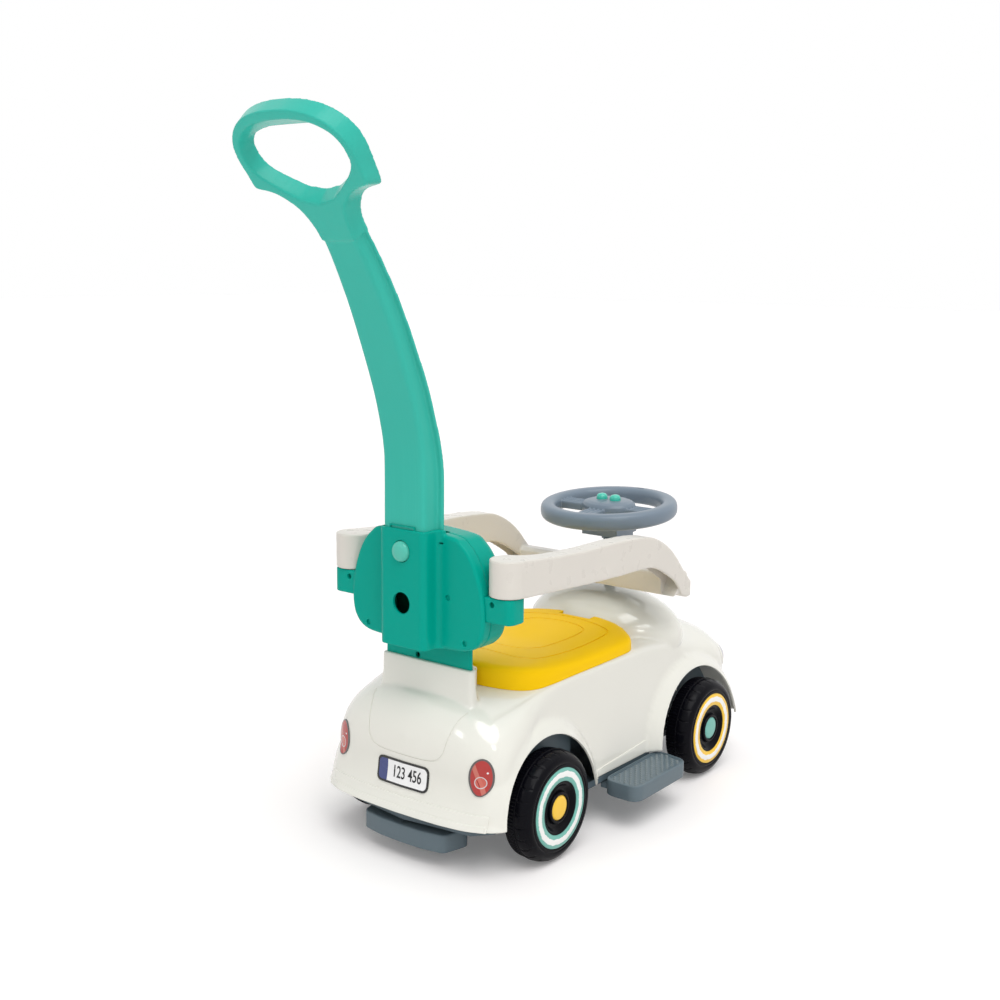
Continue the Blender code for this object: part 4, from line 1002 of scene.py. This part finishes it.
# The seat lid: a warm yellow saddle-shaped moulding, hollow below, hinged at the rear
# between two ears of the body, with two engraved contour lines and a finger notch.
SEAT_YELLOW = plastic("seat_yellow", (0.960, 0.590, 0.006), 0.30, 0.0, 0.02, gloss=0.03)
SEAT_HALF = [
    (0.000, -0.1010), (0.036, -0.0985), (0.068, -0.0880), (0.090, -0.0740), (0.1050, -0.0580),
    (0.1080, -0.020), (0.1080, 0.080), (0.1065, 0.110), (0.1010, 0.1350), (0.0885, 0.1550),
    (0.0670, 0.1690), (0.0400, 0.1765), (0.000, 0.1785),
]
SEAT_CROWN = [
    (-0.130, 0.2110), (-0.080, 0.2075), (-0.030, 0.2050), (0.040, 0.2045), (0.100, 0.2080),
    (0.150, 0.2110), (0.210, 0.2120),
]
SEAT_X = 0.1090
SEAT_SIDE_Z = 0.1905
SEAT_SQUARE = 3.6
SEAT_STEPS = 64


def seat_crown(drop):
    """The room under the saddle's top, lowered by drop."""
    half = SEAT_X - drop
    rings = []
    for y, top in smooth_path(SEAT_CROWN, 8):
        ring = []
        for k in range(SEAT_STEPS + 1):
            turn = pi * k / SEAT_STEPS
            x = half * abs(cos(turn)) ** (2 / SEAT_SQUARE) * (1 if cos(turn) > 0 else -1)
            rise = (top - drop - SEAT_SIDE_Z) * abs(sin(turn)) ** (2 / SEAT_SQUARE)
            ring.append((x, y, SEAT_SIDE_Z + rise))
        rings.append(ring + [(-half, y, 0.16), (half, y, 0.16)])
    return skin(rings)


seat_plan = both_halves(smooth_path(SEAT_HALF, 5))
lid = melted(carved(prism(seat_plan, 2, 0.1650, 0.230), ("INTERSECT", seat_crown(0))), 0.0014, 100)
lid = cut(lid, box((-0.0245, -0.12, 0.16), (0.0245, -0.0820, 0.23)))
hollow = carved(prism(inset(seat_plan, 0.0042), 2, 0.150, 0.230), ("INTERSECT", seat_crown(0.0034)))
hollow = melted(hollow, 0.0020, 44)
hollow = cut(hollow, box((-0.0275, -0.12, 0.14), (0.0275, -0.0790, 0.24)))
lid = cut(lid, hollow, dome(0.0005), hull(0.0003))
OUTER_LINE = [
    (0.000, -0.0760), (0.020, -0.0745), (0.052, -0.0663), (0.0736, -0.0530), (0.0795, -0.0207),
    (0.0820, 0.0293), (0.0800, 0.0955), (0.0700, 0.1150), (0.0564, 0.1225), (0.030, 0.1215),
    (0.000, 0.1205),
]
INNER_LINE = [
    (0.000, -0.0575), (0.020, -0.0545), (0.0335, -0.0495), (0.0454, -0.0399), (0.0500, -0.0200),
    (0.0515, 0.0123), (0.0505, 0.0554), (0.0440, 0.0745), (0.0334, 0.0836), (0.0150, 0.0865),
    (0.000, 0.0870),
]
for half in (OUTER_LINE, INNER_LINE):
    outer = both_halves(smooth_path(half, 6))
    line = cut(
        prism(outer, 2, 0.180, 0.230),
        prism(inset(outer, 0.0017), 2, 0.170, 0.240),
        seat_crown(0.0012),
    )
    lid = cut(lid, line)
strap = joined(
    box((-0.040, 0.1750, HINGE_Z - 0.0022), (0.040, HINGE_Y, HINGE_Z + 0.0022)),
    pin((-0.040, 0.040), HINGE_Y, HINGE_Z, 0.0032, 32),
    pin((-0.046, 0.046), HINGE_Y, HINGE_Z, 0.0020, 32),
)
show("seat_lid_moulding", lid, SEAT_YELLOW, "seat", "seat_yellow", "seat_lid")
show("seat_hinge_knuckle", strap, SEAT_YELLOW, "seat", "seat_yellow")

# The backrest: two teal shells screwed together round the handle's foot. The front
# shell's neck plugs into the body's socket and its ears carry the guard.
BACK_TEAL = plastic("backrest_teal", (0.000, 0.350, 0.270), 0.26, 0.0, 0.03, gloss=0.08)
SHELL_PLANE = 0.2205
PLATE_REAR = 0.234
RIB_REAR = 0.2575
RIB_HALF = 0.034
RIB_Z = (0.240, 0.375)
BACK_FRONT = 0.188
BUTTON_Z = 0.350
LOWER_HOLE_Z = 0.291
BUTTON_HOLE = 0.0125
FLANGE_HALF = 0.0372
LUG_Z = (0.2800, 0.3083)
SCREW_BORE = 0.0034
LOBE_HALF = [
    (0.000, 0.2400), (0.050, 0.2405), (0.078, 0.2440), (0.093, 0.2560), (0.0985, 0.2750), (0.0975, 0.3000),
    (0.0915, 0.3250), (0.0820, 0.3460), (0.0690, 0.3610), (0.0530, 0.3690), (0.000, 0.3730),
]
BOSSES = [(0.0726, 0.2520), (-0.0726, 0.2520), (0.0480, 0.3500), (-0.0480, 0.3500)]
SCREW_HOLES = [(0.0726, 0.2520), (-0.0726, 0.2520), (0.0480, 0.3002), (-0.0480, 0.3002)]
RIB_HALF_PLAN = [
    (0.0, PLATE_REAR - 0.006), (RIB_HALF + 0.0070, PLATE_REAR - 0.006), (RIB_HALF + 0.0070, PLATE_REAR),
    (RIB_HALF + 0.0035, PLATE_REAR + 0.0008), (RIB_HALF + 0.0010, PLATE_REAR + 0.0030),
    (RIB_HALF, PLATE_REAR + 0.0065), (RIB_HALF, RIB_REAR - 0.0075), (RIB_HALF - 0.0006, RIB_REAR - 0.0046),
    (RIB_HALF - 0.0022, RIB_REAR - 0.0022), (RIB_HALF - 0.0046, RIB_REAR - 0.0006),
    (RIB_HALF - 0.0075, RIB_REAR), (0.0, RIB_REAR),
]


def lug(side, grow):
    ends = span(side, 0.1325, 0.085)
    corners = [(ends[0], 0.2000), (ends[1], 0.2000), (ends[1], 0.2300), (ends[0], 0.2300)]
    return prism(inset(rounded(corners, 0.010), -grow), 2, LUG_Z[0] - grow, LUG_Z[1] + grow)


lobe = both_halves(smooth_path(LOBE_HALF, 5))


def lobe_form(*rows):
    """The backrest's outline through rows of y and how far it is drawn in there."""
    return skin([[(q.x, y, q.y) for q in inset(lobe, shrink)] for y, shrink in rows])


plate_form = lobe_form(
    (SHELL_PLANE, 0.0), (PLATE_REAR - 0.0030, 0.0), (PLATE_REAR - 0.0010, 0.0010), (PLATE_REAR, 0.0030)
)
rib_form = prism(both_halves(RIB_HALF_PLAN), 2, *RIB_Z)
rear_shell = melted(heap(plate_form, rib_form), 0.0009, 7)
rib_in = RIB_HALF - 0.0031
slot_half = FLANGE_HALF + 0.0005
rear_shell = cut(
    rear_shell,
    box((-rib_in, 0.2100, RIB_Z[0] + 0.0026), (rib_in, RIB_REAR - 0.0031, 0.390)),
    prism(inset(lobe, SHELL_WALL), 1, 0.2150, PLATE_REAR - SHELL_WALL),
    box((-slot_half, 0.2120, 0.290), (slot_half, PLATE_REAR - SHELL_WALL, 0.391)),
    lug(1, FIT_GAP),
    lug(-1, FIT_GAP),
    bolt(0, BUTTON_Z, 0.250, 0.270, BUTTON_HOLE),
    bolt(0, LOWER_HOLE_Z, 0.250, 0.270, BUTTON_HOLE),
)
for x, z in BOSSES:
    tube = bolt(x, z, SHELL_PLANE + 0.001, PLATE_REAR - 0.0012, 0.0062, 32)
    tube = cut(tube, bolt(x, z, 0.215, PLATE_REAR - 0.0030, 0.0036, 32))
    rear_shell = joined(rear_shell, tube)
for x, z in SCREW_HOLES:
    rear_shell = cut(rear_shell, bolt(x, z, PLATE_REAR - 0.0022, 0.240, SCREW_BORE, 32))
for side in (1, -1):
    ends = span(side, 0.0362, 0.0415)
    cheek = box((ends[0], PLATE_REAR - 0.0040, 0.3595), (ends[1], PLATE_REAR + 0.0040, 0.3618))
    rear_shell = cut(rear_shell, cheek)
tab = cut(
    box((-0.0185, 0.25455, 0.3690), (0.0185, 0.2560, 0.3790)),
    box((-0.0172, 0.2500, 0.3680), (0.0172, 0.2600, 0.3778)),
)
rear_shell = joined(rear_shell, tab)
show("backrest_rear_moulding", rear_shell, BACK_TEAL, "car", "backrest_teal", "backrest_rear_shell")

front_form = lobe_form(
    (BACK_FRONT, 0.0065), (BACK_FRONT + 0.0012, 0.0035), (BACK_FRONT + 0.0045, 0.0012),
    (BACK_FRONT + 0.010, 0.0), (SHELL_PLANE - 0.0012, 0.0), (SHELL_PLANE - 0.0003, 0.0008),
)
neck = prism(pillar_outline(-NECK_INSET, 0.0055), 2, 0.1750, 0.2480)
front_shell = melted(heap(front_form, neck, lug(1, 0), lug(-1, 0)), 0.0009, 6)
front_shell = cut(
    front_shell,
    prism(inset(lobe, 0.0075), 1, BACK_FRONT + SHELL_WALL, 0.240),
    box((-slot_half, SHELL_PLANE - 0.004, 0.290), (slot_half, 0.230, 0.391)),
    prism(pillar_outline(-0.0064, 0.003), 2, 0.160, 0.2450),
    bolt(0.107, 0.3008, 0.2255, 0.24, SCREW_BORE, 32),
    bolt(-0.107, 0.3008, 0.2255, 0.24, SCREW_BORE, 32),
    bolt(0.0148, 0.2186, 0.2060, 0.24, SCREW_BORE, 32),
)
show("backrest_front_moulding", front_shell, BACK_TEAL, "car", "backrest_teal", "backrest_front_shell")

# The safety guard: one cream moulding, open below, with two arms that end in rounded
# lugs screwed over the backrest's ears and drop in front to a crossbar.
GUARD_CREAM = plastic("guard_cream", (0.700, 0.668, 0.612), 0.28, 0.0, 0.015, gloss=0.25)
GUARD_X = (0.1115, 0.137)
LUG_X, LUG_Y, LUG_R = 0.1158, 0.2120, 0.0212
LUG_ENDS = (0.3088, 0.3505)
GUARD_TOP = [
    (0.2330, 0.3522), (0.1730, 0.3471), (0.0989, 0.3431), (0.0192, 0.3421), (-0.0382, 0.3380),
    (-0.0676, 0.3299), (-0.1001, 0.3106), (-0.1320, 0.2790), (-0.1479, 0.2639), (-0.1479, 0.2446),
]
GUARD_LOW = [
    (-0.1387, 0.2436), (-0.1260, 0.2491), (-0.1123, 0.2669), (-0.0859, 0.2832), (-0.0646, 0.2933),
    (-0.0402, 0.2984), (0.0227, 0.2999), (0.0715, 0.3014), (0.1487, 0.3055), (0.2330, 0.3098),
]
arm_top = [tuple(p) for p in smooth_path(GUARD_TOP[:9], 5)] + [GUARD_TOP[9]]
arm_low = [GUARD_LOW[0]] + [tuple(p) for p in smooth_path(GUARD_LOW[1:], 5)]
arm_side = arm_top + arm_low
CROSS = [
    (-0.1120, 0.2480), (-0.1100, 0.2770), (-0.1150, 0.2810), (-0.1420, 0.2775), (-0.1462, 0.2735),
    (-0.1462, 0.2520),
]


def to_lug(bm, limit):
    """The arm's form, cut off where the rounded lug begins."""
    return cut(bm, box((-0.2, limit, 0.2), (0.2, 0.3, 0.4)))


def lug_root(side):
    """The arm's wider root, drawn in smoothly from the round lug."""
    rings = []
    for k in range(17):
        t = k / 16
        y = LUG_Y - 0.055 * t
        near = LUG_X - LUG_R + (GUARD_X[0] + 0.001 - LUG_X + LUG_R) * t * t * (3 - 2 * t)
        far = GUARD_X[1] - 0.001
        low = LUG_ENDS[0] - 0.0027 * t
        top = LUG_ENDS[1] - 0.0040 * t
        corners = ((near, low), (far, low), (far, top), (near, top))
        rings.append([(side * x, y, z) for x, z in corners])
    return skin(rings)


def lug_post(side, low, high, radius, sides):
    return rod((side * LUG_X, LUG_Y, low), (side * LUG_X, LUG_Y, high), radius, sides)


guard = heap(
    to_lug(prism(arm_side, 0, *GUARD_X), LUG_Y),
    to_lug(prism(arm_side, 0, -GUARD_X[1], -GUARD_X[0]), LUG_Y),
    lug_root(1),
    lug_root(-1),
    lug_post(1, *LUG_ENDS, LUG_R, 96),
    lug_post(-1, *LUG_ENDS, LUG_R, 96),
    prism(CROSS, 0, -GUARD_X[1] + 0.004, GUARD_X[1] - 0.004),
)
guard = melted(guard, 0.0012, 12)
arm_room = [(y - 0.003 if i == 0 else y, z - 0.003) for i, (y, z) in enumerate(arm_top[:36])]
arm_room += [(y, z - 0.020) for y, z in arm_low[6:]]
CROSS_ROOM = [(-0.1146, 0.2300), (-0.1126, 0.2755), (-0.1160, 0.2782), (-0.1410, 0.2745), (-0.1436, 0.2300)]
guard = cut(guard, prism(CROSS_ROOM, 0, -GUARD_X[0] + 0.001, GUARD_X[0] - 0.001))
for side in (1, -1):
    ends = span(side, GUARD_X[0] + 0.0025, GUARD_X[1] - 0.0025)
    arm_cut = to_lug(prism(arm_room, 0, *ends), LUG_Y - 0.0030)
    guard = cut(guard, arm_cut, lug_post(side, 0.2953, 0.3468, LUG_R - 0.0027, 61))
show("guard_moulding", guard, GUARD_CREAM, "car", "guard_cream", "safety_guard")

# The push handle: a light teal pole, drawn like a flattened pipe with a front flange,
# that grows into an oval grip loop. Its foot slides in the backrest's rib.
POLE_Y = (0.2262, 0.2308, 0.2540)
POLE_HALF = 0.0305
POLE_BOTTOM = 0.3028
POLE_WALL = 0.0025
LOOP_FOOT = (0.3575, 0.6960)
LOOP_TILT = radians(37.5)
LOOP_DEPTH = 0.020
POLE_ROWS = [
    (0.2540, POLE_BOTTOM, POLE_HALF, 0.0278),
    (0.2540, 0.3850, POLE_HALF, 0.0278),
    (0.2540, 0.4370, 0.0303, 0.0278),
    (0.2555, 0.4620, 0.0300, 0.0256),
    (0.2610, 0.4900, 0.0297, 0.0236),
    (0.2745, 0.5346, 0.0292, 0.0218),
    (0.3050, 0.6080, 0.0277, 0.0190),
    (0.3300, 0.6560, 0.0256, 0.0172),
    (0.3500, 0.6880, 0.0238, 0.0165),
    (0.3642, 0.7060, 0.0232, 0.0165),
]
LOOP_REAR = [
    (0.0, -0.0120), (0.0233, -0.0120), (0.0240, 0.0040), (0.0275, 0.0180), (0.0330, 0.0290),
    (0.0425, 0.0385), (0.0530, 0.0460), (0.0640, 0.0500), (0.0755, 0.0528), (0.0785, 0.0570),
    (0.0788, 0.0700), (0.0795, 0.0880), (0.0755, 0.1050), (0.0630, 0.1210), (0.0440, 0.1322),
    (0.0200, 0.1378), (0.0, 0.1385),
]
LOOP_FRONT = [
    (0.0, -0.0120), (0.0280, -0.0120), (0.0290, 0.0010), (0.0325, 0.0125), (0.0385, 0.0220),
    (0.0460, 0.0305), (0.0550, 0.0358), (0.0650, 0.0385), (0.0740, 0.0405), (0.0785, 0.0450),
    (0.0815, 0.0620), (0.0840, 0.0880), (0.0800, 0.1070), (0.0660, 0.1230), (0.0460, 0.1335),
    (0.0210, 0.1388), (0.0, 0.1395),
]
HOLE_REAR = [
    (0.0, 0.0312), (0.0235, 0.0371), (0.0430, 0.0508), (0.0610, 0.0650), (0.0700, 0.0770), (0.0710, 0.0900),
    (0.0690, 0.1000), (0.0615, 0.1115), (0.0440, 0.1225), (0.0200, 0.1282), (0.0, 0.1290),
]
HOLE_FRONT = [
    (0.0, 0.0385), (0.0215, 0.0420), (0.0430, 0.0537), (0.0583, 0.0637), (0.0665, 0.0750), (0.0680, 0.0860),
    (0.0650, 0.0965), (0.0545, 0.1055), (0.0340, 0.1100), (0.0150, 0.1105), (0.0, 0.1106),
]


def shade_streaks(tree, shown):
    """Faint darker lengthwise streaks of painted shade low on the pole, fading out upwards."""
    x, _, z = local_place(tree)
    across = calc(tree, "MULTIPLY", x, 420.0)
    along = calc(tree, "MULTIPLY", z, 6.0)
    stretch = wired(tree, "ShaderNodeCombineXYZ", i0=across, i1=0.0, i2=along).outputs[0]
    lines = calc(tree, "SUBTRACT", noise(tree, stretch, 1.0, 3.0), 0.35)
    low = within(tree, z, 0.62, 0.22)
    faint = calc(tree, "MULTIPLY", calc(tree, "MULTIPLY", lines, low), 0.55, clamp=True)
    # The darker teal blended in here is painted shade, strongest low on the pole.
    return blended(tree, faint, shown, (0.025, 0.40, 0.31, 1))


# The pole's darker lengthwise streaks are painted shade, not a colour of the plastic.
HANDLE_TEAL = plastic("handle_teal", (0.042, 0.475, 0.385), 0.26, 0.0, 0.02, paint=shade_streaks, gloss=0.15)
BUTTON_TEAL = plastic("button_teal", (0.085, 0.510, 0.405), 0.24, 0.0, 0.03, coat=0.15)


def pole_section(half, deep, inner):
    """The pole's section as (x, depth) points: its flange in front, a soft rear edge."""
    if inner:
        wide = half - POLE_WALL
        return [(-wide, POLE_WALL), (wide, POLE_WALL), (wide, deep - POLE_WALL), (-wide, deep - POLE_WALL)]
    flange = half * FLANGE_HALF / POLE_HALF
    step = deep * (POLE_Y[1] - POLE_Y[0]) / (POLE_Y[2] - POLE_Y[0])
    line = [(0, 0), (flange, 0), (flange, step), (half, step + 0.0005)]
    line += [(half, deep - 0.0050), (half - 0.0008, deep - 0.0022), (half - 0.0022, deep - 0.0008)]
    return both_halves(line + [(half - 0.0050, deep), (0, deep)])


def pole(inner):
    """The pole, drawn square to its bend; inner gives the room inside its walls."""
    rows = smooth_path(POLE_ROWS, 6)
    rings = []
    for i, (y, z, half, deep) in enumerate(rows[:-6] if inner else rows):
        before = rows[max(i - 1, 0)]
        after = rows[min(i + 1, len(rows) - 1)]
        rise = Vector((after[0] - before[0], after[1] - before[1])).normalized()
        start = Vector((y, z)) - (rise * 0.01 if inner and i == 0 else Vector((0, 0)))
        ring = []
        for x, d in pole_section(half, deep, inner):
            spot = start + Vector((rise.y, -rise.x)) * (d - deep)
            ring.append((x, spot.x, spot.y))
        rings.append(ring)
    return skin(rings)


def loop_skin(rear_half, front_half, rear_depth, front_depth):
    """A solid between the two outlines (x, height) on the loop's tilted planes."""
    rise = Vector((0, sin(LOOP_TILT), cos(LOOP_TILT)))
    ahead = Vector((0, -cos(LOOP_TILT), sin(LOOP_TILT)))
    rings = []
    for half, depth in ((rear_half, rear_depth), (front_half, front_depth)):
        foot = Vector((0, *LOOP_FOOT)) + ahead * depth
        fine = [half[0]] + [tuple(p) for p in smooth_path(half[1:], 4)]
        rings.append([foot + rise * h + Vector((x, 0, 0)) for x, h in both_halves(fine)])
    return skin(rings)


grip = cut(
    loop_skin(LOOP_REAR, LOOP_FRONT, 0.0, LOOP_DEPTH),
    loop_skin(HOLE_REAR, HOLE_FRONT, -0.0002, LOOP_DEPTH + 0.0002),
)
handle = melted(heap(pole(False), grip), 0.0011, 12)
handle = cut(
    handle,
    pole(True),
    bolt(0, BUTTON_Z, 0.245, 0.262, BUTTON_HOLE - 0.0004),
)
show("push_handle_moulding", handle, HANDLE_TEAL, "handle", "handle_teal", "push_handle")

BUTTON_PROFILE = [
    (0, -0.0060), (0.0140, -0.0060), (0.0140, -0.0003), (0.0117, -0.0003), (0.0117, 0.0070), (0.0113, 0.0084),
    (0.0103, 0.0098), (0.0085, 0.0110), (0.0060, 0.0118), (0.0030, 0.0122), (0, 0.0123),
]
button = turned(BUTTON_PROFILE, (0, POLE_Y[2] - POLE_WALL, BUTTON_Z), (0, 1, 0), 64)
show("lock_button_dome", button, BUTTON_TEAL, "lock", "handle_teal", "lock_button")

# The studio: a pale floor that keeps the shadow, soft lamps round the car and the
# camera behind its right-hand rear corner.
PALE = (0.90, 0.875, 0.868)


def plain_ray(tree):
    """1 for camera, mirror and see-through rays, which see the pale backdrop."""
    path = tree.nodes.new("ShaderNodeLightPath").outputs
    seen = calc(tree, "MAXIMUM", path["Is Camera Ray"], path["Is Glossy Ray"])
    return path["Is Camera Ray"], calc(tree, "MAXIMUM", seen, path["Is Transmission Ray"])


bpy.ops.mesh.primitive_plane_add(size=40, location=(0, 0, 0))
floor = bpy.context.object
floor.name = "studio_floor"
floor_paper, floor_tree, floor_shader = new_material("floor_paper")
floor_shader.inputs["Base Color"].default_value = (*PALE, 1)
floor_shader.inputs["Roughness"].default_value = 0.55
floor_shader.inputs["Specular IOR Level"].default_value = 0.3
floor_shader.inputs["Emission Color"].default_value = (1, 1, 1, 1)
camera_ray, _ = plain_ray(floor_tree)
floor_tree.links.new(calc(floor_tree, "MULTIPLY", camera_ray, 0.13), floor_shader.inputs["Emission Strength"])
floor.data.materials.append(floor_paper)

world = bpy.data.worlds.new("studio")
world.use_nodes = True
bpy.context.scene.world = world
sky_tree = world.node_tree
sky = sky_tree.nodes["Background"]
sky.inputs["Color"].default_value = (1, 1, 1, 1)
_, backdrop_ray = plain_ray(sky_tree)
sky_strength = calc(sky_tree, "ADD", 0.58, calc(sky_tree, "MULTIPLY", backdrop_ray, 0.42))
sky_tree.links.new(sky_strength, sky.inputs["Strength"])


def softbox(name, spot, target, size, power):
    light = bpy.data.lights.new(name, "AREA")
    light.shape = "RECTANGLE"
    light.size, light.size_y = size
    light.energy = power
    obj = bpy.data.objects.new(name, light)
    obj.location = spot
    obj.rotation_euler = (Vector(target) - Vector(spot)).to_track_quat("-Z", "Y").to_euler()
    bpy.context.scene.collection.objects.link(obj)


def sky_glow(name, direction, power, spread):
    light = bpy.data.lights.new(name, "SUN")
    light.energy = power
    light.angle = radians(spread)
    obj = bpy.data.objects.new(name, light)
    obj.rotation_euler = Vector(direction).to_track_quat("-Z", "Y").to_euler()
    bpy.context.scene.collection.objects.link(obj)


sky_glow("key_glow", (0.40, -0.28, -1.0), 1.35, 40)
sky_glow("fill_glow", (0.5, 0.4, -1.6), 0.35, 60)
softbox("window_softbox", (-1.7, 1.3, 1.6), (0, 0, 0.15), (0.42, 0.34), 4)
softbox("rear_softbox", (0.7, 2.3, 1.5), (0, 0.2, 0.2), (0.35, 0.5), 3)

AZIMUTH = 3.802318268813398
ELEVATION = 0.17334501874063848
ROLL = 0.00892662413390276
CAMERA_SPOT = (-0.9875, 1.2940, 0.6778)
back = Vector((sin(AZIMUTH) * cos(ELEVATION), -cos(AZIMUTH) * cos(ELEVATION), sin(ELEVATION)))
across = Vector((cos(AZIMUTH), sin(AZIMUTH), 0))
above = back.cross(across)
camera_x = across * cos(ROLL) + above * sin(ROLL)
camera_y = above * cos(ROLL) - across * sin(ROLL)
lens = bpy.data.cameras.new("photo_camera")
lens.lens = 48.716
lens.sensor_width = 36
camera = bpy.data.objects.new("photo_camera", lens)
camera_turn = Matrix((camera_x, camera_y, back)).transposed().to_4x4()
camera.matrix_world = Matrix.Translation(CAMERA_SPOT) @ camera_turn
bpy.context.scene.collection.objects.link(camera)
bpy.context.scene.camera = camera
bpy.context.scene.view_settings.view_transform = "Standard"
